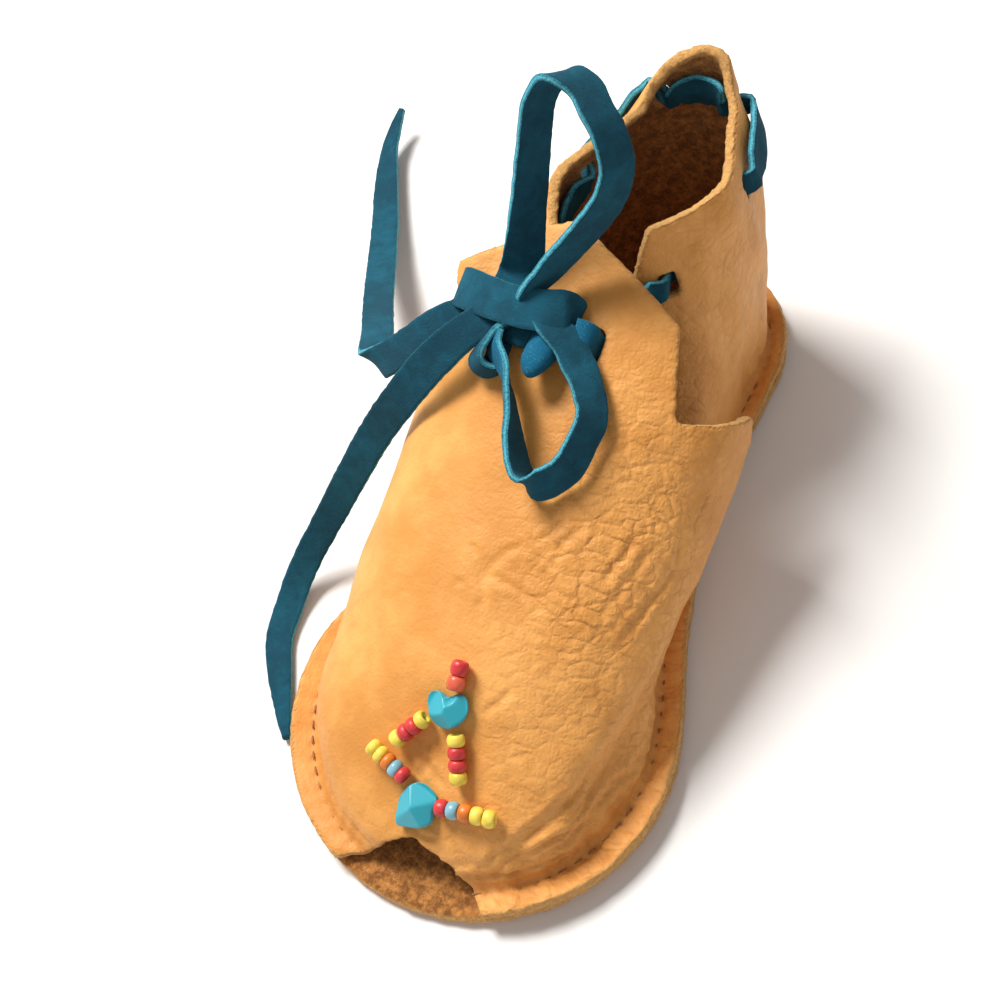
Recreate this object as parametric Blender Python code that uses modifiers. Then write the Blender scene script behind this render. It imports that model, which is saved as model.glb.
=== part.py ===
"""Baby moccasin: a soft shoe of golden deerskin that stands on its sole, toe towards -Y.

A flat sole, a domed vamp with its tongue flap and side wings, and a heel quarter meet in one
stitched flange. A suede lace weaves round the quarter, rises through two slits in the flap and
is tied in a bow, and seed beads and turquoise nuggets are strung on the toe.
Lengths are in millimetres here, and each mesh is written in metres.
"""

import bisect
import math
from collections import namedtuple

import bmesh
import bpy
from mathutils import Matrix, Vector

MM = 0.001
UP = Vector((0.0, 0.0, 1.0))

# Leather, and the gap between two layers of it
LEATHER = 1.8
GAP = 0.45
FLANGE_TOP = 2.0 * LEATHER + GAP

# The soft fold from flange to wall: how far out and how high above the flange
FOLD = ((0.8, 0.0), (0.2, 0.2))
WALL_FOOT = FLANGE_TOP + 0.7

# Sole outline: an arc round the toe, an arc round the heel, and the sides between them
TOE_RADIUS = 31.3
TOE_HUB_Y = -32.0
HEEL_RADIUS = 20.0
HEEL_HUB_Y = 43.5
Side = namedtuple("Side", "y half_width")
SIDES = (
    Side(-32.0, 31.3),
    Side(-28.0, 30.9),
    Side(-20.0, 28.8),
    Side(-12.0, 25.9),
    Side(-3.0, 23.0),
    Side(8.0, 20.6),
    Side(20.0, 19.6),
    Side(32.0, 19.6),
    Side(43.5, 20.0),
)

# The stitched flange outside the walls, and how its edge curls up off the ground
VAMP_FLANGE = 4.4
HEEL_FLANGE = 3.4
CURL_REACH = 4.3
CURL_HEIGHT = 1.1
CURL_WAVES = 5
SOLE_CURL_SHARE = 0.75

# Vamp: cross-sections from the toe hub back to the flap
VampSection = namedtuple("VampSection", "y bulge bulge_z crown_z crown_x roundness")
VAMP_SECTIONS = (
    VampSection(-32.0, 26.2, 7.0, 24.6, 0.0, 2.0),
    VampSection(-16.0, 26.3, 13.0, 31.0, 0.0, 2.2),
    VampSection(0.0, 26.2, 18.0, 37.2, -0.8, 2.3),
    VampSection(12.0, 26.4, 22.0, 42.2, -2.5, 2.5),
    VampSection(22.0, 26.2, 25.5, 46.4, -4.0, 2.8),
    VampSection(32.0, 25.6, 27.0, 50.4, -4.6, 2.8),
)
TOE_BULGE = 25.8
TOE_BULGE_Z = 6.0
TOE_ROUNDNESS = 1.5
CROWN_SLOPE = 0.40
VAMP_REAR_Y = 34.0
SIDE_RIBS = 16
TOE_RIBS = 18
WALL_ROWS = 3
DOME_ROWS = 8

# Cuts in the vamp: the notch at the toe, the tongue flap's edge, and the gap above each wing
NOTCH_PLAN = (
    (-18.3, -66.0),
    (-9.3, -60.1),
    (0.6, -54.8),
    (10.9, -57.1),
    (20.6, -67.1),
    (20.6, -72.0),
    (-18.3, -72.0),
)
FLAP_EDGE_PLAN = (
    (-40.0, 14.0),
    (-23.4, 22.6),
    (-10.4, 29.4),
    (-4.8, 30.4),
    (14.8, 21.2),
    (40.0, 9.2),
    (40.0, 60.0),
    (-40.0, 60.0),
)
WING_REAR_PROFILE = (
    (14.0, -3.0),
    (14.0, 4.8),
    (19.5, 28.0),
    (45.0, 28.0),
    (45.0, -3.0),
)
RIGHT_GAP_PROFILE = (
    (19.5, 28.0),
    (9.9, 36.6),
    (9.9, 75.0),
    (45.0, 75.0),
    (45.0, 27.0),
)
LEFT_GAP_PROFILE = (
    (19.5, 28.0),
    (9.5, 31.5),
    (17.0, 36.0),
    (24.5, 41.2),
    (45.0, 50.0),
    (45.0, 27.0),
)
WING_REAR_X = 8.0
FLAP_SIDE_X = 18.3
FLAP_SIDE_Y = 9.9
FLAP_SIDE_SLANT = -0.303
WING_CUT_REACH = 60.0
FLAP_SLITS = ((4.1, 14.6), (-9.8, 12.0))
SLIT_WIDTH = 2.8
SLIT_LENGTH = 6.4

# Quarter: the collar's rim over the stitch line, by the distance along it from the heel's back
Rim = namedtuple("Rim", "along x y z bulge")
RIM = (
    Rim(-65.0, 6.2, 31.4, 50.0, -3.6),
    Rim(-54.0, 10.8, 36.2, 50.2, 0.0),
    Rim(-42.0, 13.8, 42.8, 50.0, 1.6),
    Rim(-33.0, 13.0, 48.0, 49.8, 2.4),
    Rim(-25.0, 10.8, 53.6, 50.8, 2.8),
    Rim(-17.0, 8.8, 58.6, 53.2, 2.4),
    Rim(-8.0, 6.0, 62.0, 55.7, 1.6),
    Rim(0.0, 2.2, 62.4, 56.5, 1.4),
    Rim(8.0, -1.4, 59.8, 55.8, 2.6),
    Rim(15.0, -3.6, 56.8, 53.0, 3.8),
    Rim(22.0, -5.2, 53.8, 50.2, 4.2),
    Rim(31.0, -8.6, 47.6, 49.4, 3.2),
    Rim(41.0, -12.2, 42.0, 48.8, 2.0),
    Rim(52.0, -13.0, 37.0, 48.0, 0.8),
    Rim(65.0, -10.2, 30.0, 46.2, 0.0),
)
QUARTER_FRONT = 65.0
QUARTER_TUCK = 3.7
TUCK_FROM_Y = 19.0
TUCK_TO_Y = 13.0
FLANGE_JOIN_Y = 14.3
TUCKED_FOOT = 2.4
BULGE_PEAK = 2.1
QUARTER_RIBS = 14
TUCKED_RIBS = 3
QUARTER_ROWS = (0.0, 0.12, 0.26, 0.42, 0.58, 0.72, 0.84, 0.93, 1.0)

# Ankle lace: its section, and where it passes through the quarter, first inwards, then outwards
LACE_WIDTH = 5.4
LACE_THICKNESS = 1.3
LACE_BUNCHED = 3.4
BUNCHING = (1.8, 5.5)
LACE_OUTSIDE = 1.35
LACE_INSIDE = -3.1
LACE_SLACK = 0.9
LACE_STEP = 2.2
CROSSING_REACH = 1.5
CROSSING_STEPS = 6
LaceHole = namedtuple("LaceHole", "along level")
LACE_HOLES = (
    LaceHole(-58.0, 0.80),
    LaceHole(-31.0, 0.88),
    LaceHole(-13.0, 0.87),
    LaceHole(11.0, 0.87),
    LaceHole(33.0, 0.88),
    LaceHole(53.0, 0.82),
)
LACE_RIGHT_END = -62.0
LACE_LEFT_END = 56.0
HOLE_LENGTH = 3.6
HOLE_HEIGHT = 4.6

# Lace routes: centre, width, and the direction across the lace
LaceRow = namedtuple("LaceRow", "x y z width side_x side_y side_z")
RIGHT_FRONT = (
    LaceRow(1.9, 14.2, 45.4, 4.0, 0.00, 0.93, 0.37),
    LaceRow(3.2, 14.3, 45.3, 4.0, 0.00, 0.93, 0.37),
    LaceRow(3.9, 14.5, 44.4, 4.0, 0.00, 0.94, 0.34),
    LaceRow(4.1, 14.6, 42.6, 4.0, 0.00, 0.94, 0.34),
    LaceRow(4.4, 15.2, 40.6, 4.2, 0.00, 0.92, 0.40),
    LaceRow(5.4, 18.0, 39.6, 4.5, 0.00, 0.85, 0.53),
    LaceRow(6.4, 21.6, 39.8, 4.8, 0.00, 0.65, 0.76),
    LaceRow(7.2, 24.6, 40.2, 4.8, 0.00, 0.50, 0.87),
)
LEFT_FRONT = (
    LaceRow(-15.2, 26.2, 39.4, 4.8, 0.05, 0.45, 0.89),
    LaceRow(-15.6, 20.8, 38.2, 4.6, 0.10, 0.62, 0.78),
    LaceRow(-14.0, 16.0, 37.1, 4.4, 0.10, 0.85, 0.52),
    LaceRow(-11.6, 13.2, 37.1, 4.2, 0.05, 0.93, 0.36),
    LaceRow(-10.1, 12.3, 38.8, 4.2, 0.00, 0.94, 0.34),
    LaceRow(-9.8, 12.0, 41.0, 4.2, 0.00, 0.94, 0.34),
    LaceRow(-9.7, 12.0, 43.4, 4.2, 0.00, 0.94, 0.34),
)

# Bow: the knot's band and the lump under it, the two loops, and the two free ends
KnotRow = namedtuple("KnotRow", "x y z width height")
KNOT_BAND = (
    KnotRow(-18.6, 17.0, 44.7, 6.0, 1.8),
    KnotRow(-16.8, 16.5, 45.5, 6.2, 2.6),
    KnotRow(-13.4, 15.6, 46.3, 6.0, 3.4),
    KnotRow(-9.2, 14.9, 46.8, 5.8, 4.0),
    KnotRow(-6.0, 14.9, 46.9, 5.8, 4.2),
    KnotRow(-3.0, 15.6, 46.8, 6.1, 4.0),
    KnotRow(-0.7, 16.6, 46.4, 6.2, 3.4),
    KnotRow(0.9, 17.6, 45.9, 5.2, 2.2),
)
KNOT_SIDE = (0.08, 0.90, 0.42)
KNOT_CORNERS = 10
LUMP_CENTRE = (-2.7, 11.2, 44.9)
LUMP_SIZE = (5.2, 6.8, 3.4)
UPPER_LOOP = (
    LaceRow(-10.1, 21.2, 49.0, 5.4, 0.91, 0.41, -0.06),
    LaceRow(-9.9, 22.4, 51.2, 5.4, 0.84, 0.52, -0.15),
    LaceRow(-9.8, 24.4, 54.7, 5.4, 0.67, 0.67, -0.30),
    LaceRow(-9.5, 29.0, 62.2, 5.4, 0.52, 0.76, -0.41),
    LaceRow(-8.9, 31.7, 68.1, 5.4, 0.50, 0.76, -0.41),
    LaceRow(-8.3, 32.9, 71.0, 5.4, 0.50, 0.76, -0.41),
    LaceRow(-6.4, 34.1, 73.6, 5.4, 0.50, 0.76, -0.41),
    LaceRow(-3.9, 34.0, 74.1, 5.4, 0.50, 0.76, -0.41),
    LaceRow(-1.6, 33.4, 73.4, 5.4, 0.50, 0.76, -0.41),
    LaceRow(1.0, 31.9, 72.0, 5.4, 0.50, 0.76, -0.41),
    LaceRow(3.2, 30.5, 69.6, 5.4, 0.50, 0.76, -0.41),
    LaceRow(4.9, 28.8, 65.4, 5.4, 0.50, 0.76, -0.41),
    LaceRow(4.4, 27.0, 60.6, 5.4, 0.53, 0.76, -0.37),
    LaceRow(1.6, 24.3, 55.2, 5.4, 0.64, 0.71, -0.30),
    LaceRow(-1.3, 21.2, 51.4, 5.4, 0.78, 0.60, -0.19),
    LaceRow(-2.3, 19.9, 50.3, 5.4, 0.86, 0.50, -0.10),
)
LOWER_LOOP = (
    LaceRow(4.0, 10.0, 44.2, 5.2, 0.67, 0.67, -0.33),
    LaceRow(5.5, 8.7, 43.6, 5.3, 0.65, 0.68, -0.34),
    LaceRow(7.3, 6.9, 42.8, 5.4, 0.62, 0.69, -0.37),
    LaceRow(8.8, 4.1, 41.7, 5.4, 0.61, 0.63, -0.48),
    LaceRow(8.7, 0.2, 40.2, 5.4, 0.59, 0.42, -0.69),
    LaceRow(7.6, -3.5, 38.8, 5.4, 0.55, 0.15, -0.82),
    LaceRow(5.7, -6.0, 37.9, 5.4, 0.52, 0.00, -0.85),
    LaceRow(3.9, -7.5, 37.7, 5.4, 0.52, -0.04, -0.85),
    LaceRow(2.2, -7.2, 38.2, 5.4, 0.49, 0.11, -0.87),
    LaceRow(0.4, -5.4, 39.1, 5.3, 0.42, 0.34, -0.84),
    LaceRow(-1.0, -2.6, 40.3, 5.2, 0.37, 0.52, -0.77),
    LaceRow(-2.0, 0.9, 41.8, 5.1, 0.38, 0.54, -0.75),
    LaceRow(-3.2, 3.6, 43.0, 5.0, 0.43, 0.54, -0.72),
    LaceRow(-5.2, 6.6, 44.3, 4.6, 0.48, 0.52, -0.70),
    LaceRow(-7.0, 9.1, 45.0, 4.4, 0.50, 0.50, -0.70),
)
SHORT_END = (
    LaceRow(-20.2, 11.8, 42.4, 5.0, -0.70, 0.62, 0.36),
    LaceRow(-21.6, 11.2, 41.2, 5.4, -0.70, 0.62, 0.36),
    LaceRow(-25.3, 9.5, 38.0, 5.4, -0.74, 0.58, 0.34),
    LaceRow(-30.0, 8.5, 33.5, 5.4, -0.79, 0.52, 0.32),
    LaceRow(-34.2, 8.6, 29.5, 5.6, -0.87, 0.33, 0.35),
    LaceRow(-37.6, 12.1, 26.2, 5.6, -0.98, -0.08, 0.14),
    LaceRow(-41.9, 18.3, 22.0, 5.6, -0.96, -0.26, -0.04),
    LaceRow(-49.4, 28.1, 15.0, 5.6, -0.95, -0.32, -0.04),
    LaceRow(-57.4, 40.2, 8.5, 5.6, -0.95, -0.32, -0.04),
    LaceRow(-63.9, 51.2, 4.8, 5.4, -0.95, -0.29, -0.09),
    LaceRow(-70.7, 63.5, 3.4, 4.8, -0.96, -0.24, -0.17),
    LaceRow(-73.8, 70.6, 3.6, 3.6, -0.95, -0.19, -0.25),
    LaceRow(-75.0, 76.3, 4.6, 2.2, -0.99, 0.04, -0.10),
    LaceRow(-75.2, 79.7, 5.6, 1.0, -0.99, 0.11, -0.05),
)
LONG_END = (
    LaceRow(-14.0, 10.4, 45.4, 5.2, 0.93, -0.21, -0.30),
    LaceRow(-16.6, 7.3, 43.5, 5.6, 0.93, -0.21, -0.30),
    LaceRow(-19.6, 4.7, 40.5, 5.8, 0.93, -0.21, -0.30),
    LaceRow(-24.2, 1.0, 34.5, 5.8, 0.95, -0.16, -0.28),
    LaceRow(-29.2, -2.3, 27.0, 5.6, 0.94, -0.14, -0.32),
    LaceRow(-33.4, -6.6, 19.5, 5.4, 0.94, -0.07, -0.34),
    LaceRow(-36.6, -10.4, 13.5, 5.2, 0.93, 0.00, -0.36),
    LaceRow(-39.2, -14.6, 8.6, 5.0, 0.93, 0.08, -0.37),
    LaceRow(-41.2, -20.3, 4.2, 4.9, 0.93, 0.26, -0.28),
    LaceRow(-41.2, -26.7, 1.7, 4.9, 0.89, 0.43, -0.14),
    LaceRow(-40.0, -32.4, 1.1, 4.6, 0.87, 0.49, -0.06),
    LaceRow(-36.8, -37.7, 1.0, 4.2, 0.87, 0.49, 0.00),
    LaceRow(-32.6, -43.5, 1.0, 2.6, 0.87, 0.49, 0.00),
    LaceRow(-29.6, -47.4, 1.0, 1.2, 0.87, 0.49, 0.00),
)

# Beads strung on the toe: rows of beads between two places in plan, and two turquoise nuggets
BEAD_RADIUS = 1.36
BEAD_HOLE = 0.4
BEAD_GAP = 0.35
BEAD_SIDES = 8
BEAD_SECTION = 5
BeadRow = namedtuple("BeadRow", "name start end colours")
BEAD_ROWS = (
    BeadRow("crown", (1.7, -32.2), (1.9, -34.0), ("red", "coral")),
    BeadRow("left_leg", (-1.8, -39.7), (-4.8, -43.1), ("yellow", "red", "red", "yellow")),
    BeadRow("right_leg", (4.25, -40.45), (6.0, -44.7), ("yellow", "red", "red", "yellow")),
    BeadRow("left_arm", (-8.1, -45.4), (-2.6, -47.2), ("yellow", "yellow", "orange", "sky", "red")),
    BeadRow("right_arm", (4.75, -49.1), (11.9, -47.8), ("red", "sky", "orange", "yellow", "yellow")),
)
NUGGET_LIFT = 0.35
NUGGET_HEIGHT = 3.4
NuggetCorner = namedtuple("NuggetCorner", "angle reach")
HEART_CENTRE = (1.9, -37.3)
HEART = (
    NuggetCorner(-150.0, 3.),
    NuggetCorner(-120.0, 2.8),
    NuggetCorner(-90.0, 2.6),
    NuggetCorner(-60.0, 2.5),
    NuggetCorner(-33.0, 2.5),
    NuggetCorner(-5.0, 2.7),
    NuggetCorner(20.0, 2.9),
    NuggetCorner(42.0, 3.),
    NuggetCorner(60.0, 2.8),
    NuggetCorner(80.0, 2.1),
    NuggetCorner(104.0, 1.6),
    NuggetCorner(127.0, 1.7),
    NuggetCorner(143.0, 2.8),
    NuggetCorner(158.0, 3.5),
    NuggetCorner(175.0, 3.6),
    NuggetCorner(192.0, 3.3),
)
WEDGE_CENTRE = (0.85, -50.15)
WEDGE = (
    NuggetCorner(-154.0, 3.1),
    NuggetCorner(-136.0, 3.7),
    NuggetCorner(-121.0, 4.2),
    NuggetCorner(-104.0, 3.4),
    NuggetCorner(-84.0, 3.),
    NuggetCorner(-55.0, 3.),
    NuggetCorner(-27.0, 3.1),
    NuggetCorner(0.0, 2.6),
    NuggetCorner(18.0, 2.7),
    NuggetCorner(38.0, 3.2),
    NuggetCorner(60.0, 3.),
    NuggetCorner(92.0, 3.),
    NuggetCorner(125.0, 2.9),
    NuggetCorner(150.0, 2.7),
    NuggetCorner(178.0, 2.9),
)
NUGGET_RINGS = ((0.0, 0.55), (0.25, 0.92), (0.55, 1.0), (0.85, 0.72), (1.0, 0.35))

LEATHER_GOLD = (0.79, 0.38, 0.10)
LACE_TEAL = (0.010, 0.095, 0.165)
STONE_TURQUOISE = (0.03, 0.40, 0.50)
BEAD_COLOURS = {
    "red": (0.65, 0.03, 0.03),
    "coral": (0.80, 0.16, 0.07),
    "yellow": (0.90, 0.70, 0.06),
    "orange": (0.75, 0.23, 0.03),
    "sky": (0.20, 0.46, 0.58),
}


def clear_scene():
    for item in list(bpy.data.objects):
        bpy.data.objects.remove(item, do_unlink=True)


def new_collection(name):
    collection = bpy.data.collections.new(name)
    bpy.context.scene.collection.children.link(collection)
    return collection


def new_material(name, colour, roughness):
    material = bpy.data.materials.new(name)
    material.use_nodes = True
    shader = material.node_tree.nodes["Principled BSDF"]
    shader.inputs["Base Color"].default_value = (*colour, 1.0)
    shader.inputs["Roughness"].default_value = roughness
    shader.inputs["Metallic"].default_value = 0.0
    return material


def column(table, key, name, at):
    """A column of a table at any station, on a smooth curve through the rows."""
    stations = [getattr(row, key) for row in table]
    values = [getattr(row, name) for row in table]
    at = min(max(at, stations[0]), stations[-1])
    low = min(bisect.bisect_right(stations, at) - 1, len(table) - 2)

    def slope(row):
        before = max(row - 1, 0)
        after = min(row + 1, len(table) - 1)
        return (values[after] - values[before]) / (stations[after] - stations[before])

    span = stations[low + 1] - stations[low]
    part = (at - stations[low]) / span
    start, end = values[low], values[low + 1]
    curve = (2.0 * part**3 - 3.0 * part**2 + 1.0) * start
    curve += (3.0 * part**2 - 2.0 * part**3) * end
    curve += (part**3 - 2.0 * part**2 + part) * span * slope(low)
    curve += (part**3 - part**2) * span * slope(low + 1)
    return curve


def ease(value, start, end):
    """0 at start, 1 at end, and smooth between them."""
    part = min(max((value - start) / (end - start), 0.0), 1.0)
    return part * part * (3.0 - 2.0 * part)


def spread(start, end, steps):
    return [start + (end - start) * step / steps for step in range(steps + 1)]


def half_width(y):
    return column(SIDES, "y", "half_width", y)


def inset(x, y):
    """How far a point of the plan lies inside the sole's outline."""
    if y < TOE_HUB_Y:
        return TOE_RADIUS - math.hypot(x, y - TOE_HUB_Y)
    if y > HEEL_HUB_Y:
        return HEEL_RADIUS - math.hypot(x, y - HEEL_HUB_Y)
    return half_width(y) - abs(x)


def edge_curl(x, y):
    """How far the sole and flange lift towards their edge, in long waves round the shoe."""
    reach = max(0.0, 1.0 - inset(x, y) / CURL_REACH)
    wave = 0.6 + 0.4 * math.sin(CURL_WAVES * math.atan2(x, y) + 1.0)
    return CURL_HEIGHT * reach * reach * wave


Rib = namedtuple("Rib", "hub_y out_x out_y reach")


def side_rib(side, y):
    return Rib(y, float(side), 0.0, half_width(y))


def fan_rib(hub_y, radius, angle):
    return Rib(hub_y, math.sin(angle), -math.cos(angle), radius)


def toe_ribs(steps):
    angles = spread(-math.pi / 2.0, math.pi / 2.0, steps)
    return [fan_rib(TOE_HUB_Y, TOE_RADIUS, angle) for angle in angles[1:-1]]


def heel_ribs(steps):
    angles = spread(math.pi / 2.0, 1.5 * math.pi, steps)
    return [fan_rib(HEEL_HUB_Y, HEEL_RADIUS, angle) for angle in angles[1:-1]]


def on_rib(rib, out, z):
    return Vector((rib.out_x * out, rib.hub_y + rib.out_y * out, z))


def skin(bm, ribs, closed=False):
    """Quads between neighbouring ribs, each a list of as many points."""
    rows = [[bm.verts.new(point * MM) for point in rib] for rib in ribs]
    pairs = list(zip(rows, rows[1:]))
    if closed:
        pairs.append((rows[-1], rows[0]))
    for near, far in pairs:
        for low in range(len(near) - 1):
            bm.faces.new((near[low], far[low], far[low + 1], near[low + 1]))


def finish(bm, name, material, collection):
    """Welds shared points and makes the object, shaded smooth."""
    bmesh.ops.remove_doubles(bm, verts=bm.verts, dist=1e-6)
    bmesh.ops.dissolve_degenerate(bm, edges=bm.edges, dist=1e-6)
    mesh = bpy.data.meshes.new(name)
    bm.to_mesh(mesh)
    bm.free()
    mesh.materials.append(material)
    mesh.shade_smooth()
    made = bpy.data.objects.new(name, mesh)
    collection.objects.link(made)
    return made


def thicken(target, thickness, offset=-1.0):
    shell = target.modifiers.new("Thickness", "SOLIDIFY")
    shell.thickness = thickness * MM
    shell.offset = offset
    shell.use_even_offset = True
    shell.use_quality_normals = True


def make_cutter(name, bm, cutters):
    bmesh.ops.recalc_face_normals(bm, faces=bm.faces)
    mesh = bpy.data.meshes.new(name)
    bm.to_mesh(mesh)
    bm.free()
    cutter = bpy.data.objects.new(name, mesh)
    cutter.hide_render = True
    cutter.display_type = "WIRE"
    cutters.objects.link(cutter)
    return cutter


def prism(near, far):
    """A solid between two polygons of as many corners."""
    bm = bmesh.new()
    near = [bm.verts.new(Vector(point) * MM) for point in near]
    far = [bm.verts.new(Vector(point) * MM) for point in far]
    bm.faces.new(near)
    bm.faces.new(list(reversed(far)))
    for corner in range(len(near)):
        after = (corner + 1) % len(near)
        bm.faces.new((near[corner], far[corner], far[after], near[after]))
    return bm


def block(place, size):
    bm = bmesh.new()
    sizes = Matrix.Diagonal((size[0] * MM, size[1] * MM, size[2] * MM, 1.0))
    bmesh.ops.create_cube(bm, size=1.0, matrix=place @ sizes)
    return bm


def cut(target, cutter):
    modifier = target.modifiers.new(cutter.name, "BOOLEAN")
    modifier.operation = "DIFFERENCE"
    modifier.object = cutter
    modifier.solver = "EXACT"


def frame_at(point, along, across):
    """The placement of a box whose sides run along, across and through a surface."""
    along = along.normalized()
    through = along.cross(across).normalized()
    across = through.cross(along)
    turn = Matrix((along, across, through)).transposed().to_4x4()
    return Matrix.Translation(point * MM) @ turn


def make_outsole(collection, material):
    """The flat sole, its edge curled up a little."""
    ribs = [side_rib(-1, y) for y in spread(HEEL_HUB_Y, TOE_HUB_Y, 14)]
    ribs += toe_ribs(18)
    ribs += [side_rib(1, y) for y in spread(TOE_HUB_Y, HEEL_HUB_Y, 14)]
    ribs += heel_ribs(12)
    lines = []
    for rib in ribs:
        outs = [rib.reach - depth for depth in (0.0, 2.0, VAMP_FLANGE, 9.0)] + [0.0]
        line = [on_rib(rib, out, LEATHER) for out in outs]
        lines.append([point + UP * edge_curl(point.x, point.y) * SOLE_CURL_SHARE for point in line])
    bm = bmesh.new()
    skin(bm, lines, closed=True)
    thicken(finish(bm, "outsole", material, collection), LEATHER)


def vamp_section(rib):
    """The rib's section, from the table or blended into the toe's."""
    section = VampSection(*(column(VAMP_SECTIONS, "y", name, rib.hub_y) for name in VampSection._fields))
    toe = max(0.0, -rib.out_y) ** 2
    return section._replace(
        bulge=section.bulge + (TOE_BULGE - section.bulge) * toe,
        bulge_z=section.bulge_z + (TOE_BULGE_Z - section.bulge_z) * toe,
        roundness=section.roundness + (TOE_ROUNDNESS - section.roundness) * toe,
    )


def dome_point(rib, section, share):
    """A point of the dome: share runs from 0 at the bulge to 1 on the crown line."""
    angle = share * math.pi / 2.0
    power = 2.0 / section.roundness
    outward = max(math.cos(angle), 0.0) ** power
    point = on_rib(rib, section.bulge * outward, section.bulge_z)
    point.x += section.crown_x * (1.0 - outward)
    point.z += (section.crown_z - section.bulge_z) * math.sin(angle) ** power
    if rib.out_y < 0.0:
        point.z += CROWN_SLOPE * (point.y - TOE_HUB_Y) * (1.0 - outward**2)
    return point


def vamp_line(rib):
    """The vamp's outer face along a rib: flange, wall, then dome."""
    section = vamp_section(rib)
    stitch = rib.reach - VAMP_FLANGE
    line = [on_rib(rib, rib.reach - depth, FLANGE_TOP) for depth in (0.0, 0.5 * VAMP_FLANGE)]
    line = [point + UP * edge_curl(point.x, point.y) for point in line]
    line += [on_rib(rib, stitch + out, FLANGE_TOP + rise) for out, rise in FOLD]
    for part in spread(0.0, 1.0, WALL_ROWS):
        out = stitch + (section.bulge - stitch) * ease(part, 0.0, 1.0)
        line.append(on_rib(rib, out, WALL_FOOT + (section.bulge_z - WALL_FOOT) * part))
    line += [dome_point(rib, section, share) for share in spread(0.0, 1.0, DOME_ROWS)[1:]]
    return line


def vamp_height(x, y):
    """Height of the dome's outer face over a point of the plan."""
    if y < TOE_HUB_Y:
        out = math.hypot(x, y - TOE_HUB_Y)
        rib = Rib(TOE_HUB_Y, x / out, (y - TOE_HUB_Y) / out, TOE_RADIUS)
    else:
        out = abs(x - column(VAMP_SECTIONS, "y", "crown_x", y))
        rib = side_rib(math.copysign(1.0, x), y)
    section = vamp_section(rib)
    span = section.bulge - rib.out_x * section.crown_x
    outward = min(out / span, 1.0)
    rise = (1.0 - outward**section.roundness) ** (1.0 / section.roundness)
    height = section.bulge_z + (section.crown_z - section.bulge_z) * rise
    if y < TOE_HUB_Y:
        height += CROWN_SLOPE * (y - TOE_HUB_Y) * (1.0 - outward**2)
    return height


def side_cutter(side, profile, inner):
    """A profile seen from the side, carried outwards from the inner x at each station."""
    near = [(side * inner(y), y, z) for y, z in profile]
    far = [(side * WING_CUT_REACH, y, z) for y, z in profile]
    return prism(near, far)


def flap_side(y):
    return FLAP_SIDE_X + FLAP_SIDE_SLANT * (y - FLAP_SIDE_Y)


def plan_cutter(outline, low, high):
    return prism([(x, y, low) for x, y in outline], [(x, y, high) for x, y in outline])


def make_vamp(collection, cutters, material):
    """Flange, dome, wings and tongue flap in one piece, with the notch at the toe."""
    ribs = [side_rib(-1, y) for y in spread(VAMP_REAR_Y, TOE_HUB_Y, SIDE_RIBS)]
    ribs += toe_ribs(TOE_RIBS)
    ribs += [side_rib(1, y) for y in spread(TOE_HUB_Y, VAMP_REAR_Y, SIDE_RIBS)]
    bm = bmesh.new()
    skin(bm, [vamp_line(rib) for rib in ribs])
    vamp = finish(bm, "upper_vamp", material, collection)
    thicken(vamp, LEATHER)
    cut(vamp, make_cutter("toe_notch", plan_cutter(NOTCH_PLAN, -5.0, 60.0), cutters))
    cut(vamp, make_cutter("flap_edge", plan_cutter(FLAP_EDGE_PLAN, 34.0, 90.0), cutters))
    for side, name, gap in ((1.0, "right", RIGHT_GAP_PROFILE), (-1.0, "left", LEFT_GAP_PROFILE)):
        rear = side_cutter(side, WING_REAR_PROFILE, lambda y: WING_REAR_X)
        cut(vamp, make_cutter(f"{name}_wing_rear", rear, cutters))
        cut(vamp, make_cutter(f"{name}_wing_gap", side_cutter(side, gap, flap_side), cutters))
    for number, (x, y) in enumerate(FLAP_SLITS):
        place = Matrix.Translation(Vector((x, y, vamp_height(x, y))) * MM)
        slit = block(place, (SLIT_WIDTH, SLIT_LENGTH, 14.0))
        cut(vamp, make_cutter(f"flap_slit_{number}", slit, cutters))


def heel_line(along):
    """Point and outward direction on the quarter's stitch line, by the distance from the
    heel's back, negative on the right."""
    radius = HEEL_RADIUS - HEEL_FLANGE
    arc = radius * math.pi / 2.0
    side = -1.0 if along > 0.0 else 1.0
    if abs(along) < arc:
        angle = abs(along) / radius
        out = Vector((side * math.sin(angle), math.cos(angle), 0.0))
        return Vector((0.0, HEEL_HUB_Y, 0.0)) + out * radius, out
    y = HEEL_HUB_Y - (abs(along) - arc)
    tuck = QUARTER_TUCK * ease(y, TUCK_FROM_Y, TUCK_TO_Y)
    return Vector((side * (half_width(y) - HEEL_FLANGE - tuck), y, 0.0)), Vector((side, 0.0, 0.0))


def quarter_point(along, level):
    """The quarter's outer face: level runs from 0 at the stitch line to 1 at the rim."""
    base, out = heel_line(along)
    base.z = WALL_FOOT + (TUCKED_FOOT - WALL_FOOT) * ease(base.y, FLANGE_JOIN_Y, FLANGE_JOIN_Y - 1.0)
    rim = Vector([column(RIM, "along", name, along) for name in "xyz"])
    bulge = column(RIM, "along", "bulge", along) * BULGE_PEAK * level * (1.0 - level**3)
    return base.lerp(rim, level) + out * bulge


def quarter_frame(along, level):
    """Point, direction forward, direction up and outward normal on the quarter."""
    step = 0.01
    point = quarter_point(along, level)
    forward = (quarter_point(along + step, level) - quarter_point(along - step, level)).normalized()
    upward = (quarter_point(along, level + step) - quarter_point(along, level - step)).normalized()
    return point, forward, upward, forward.cross(upward).normalized()


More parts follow.
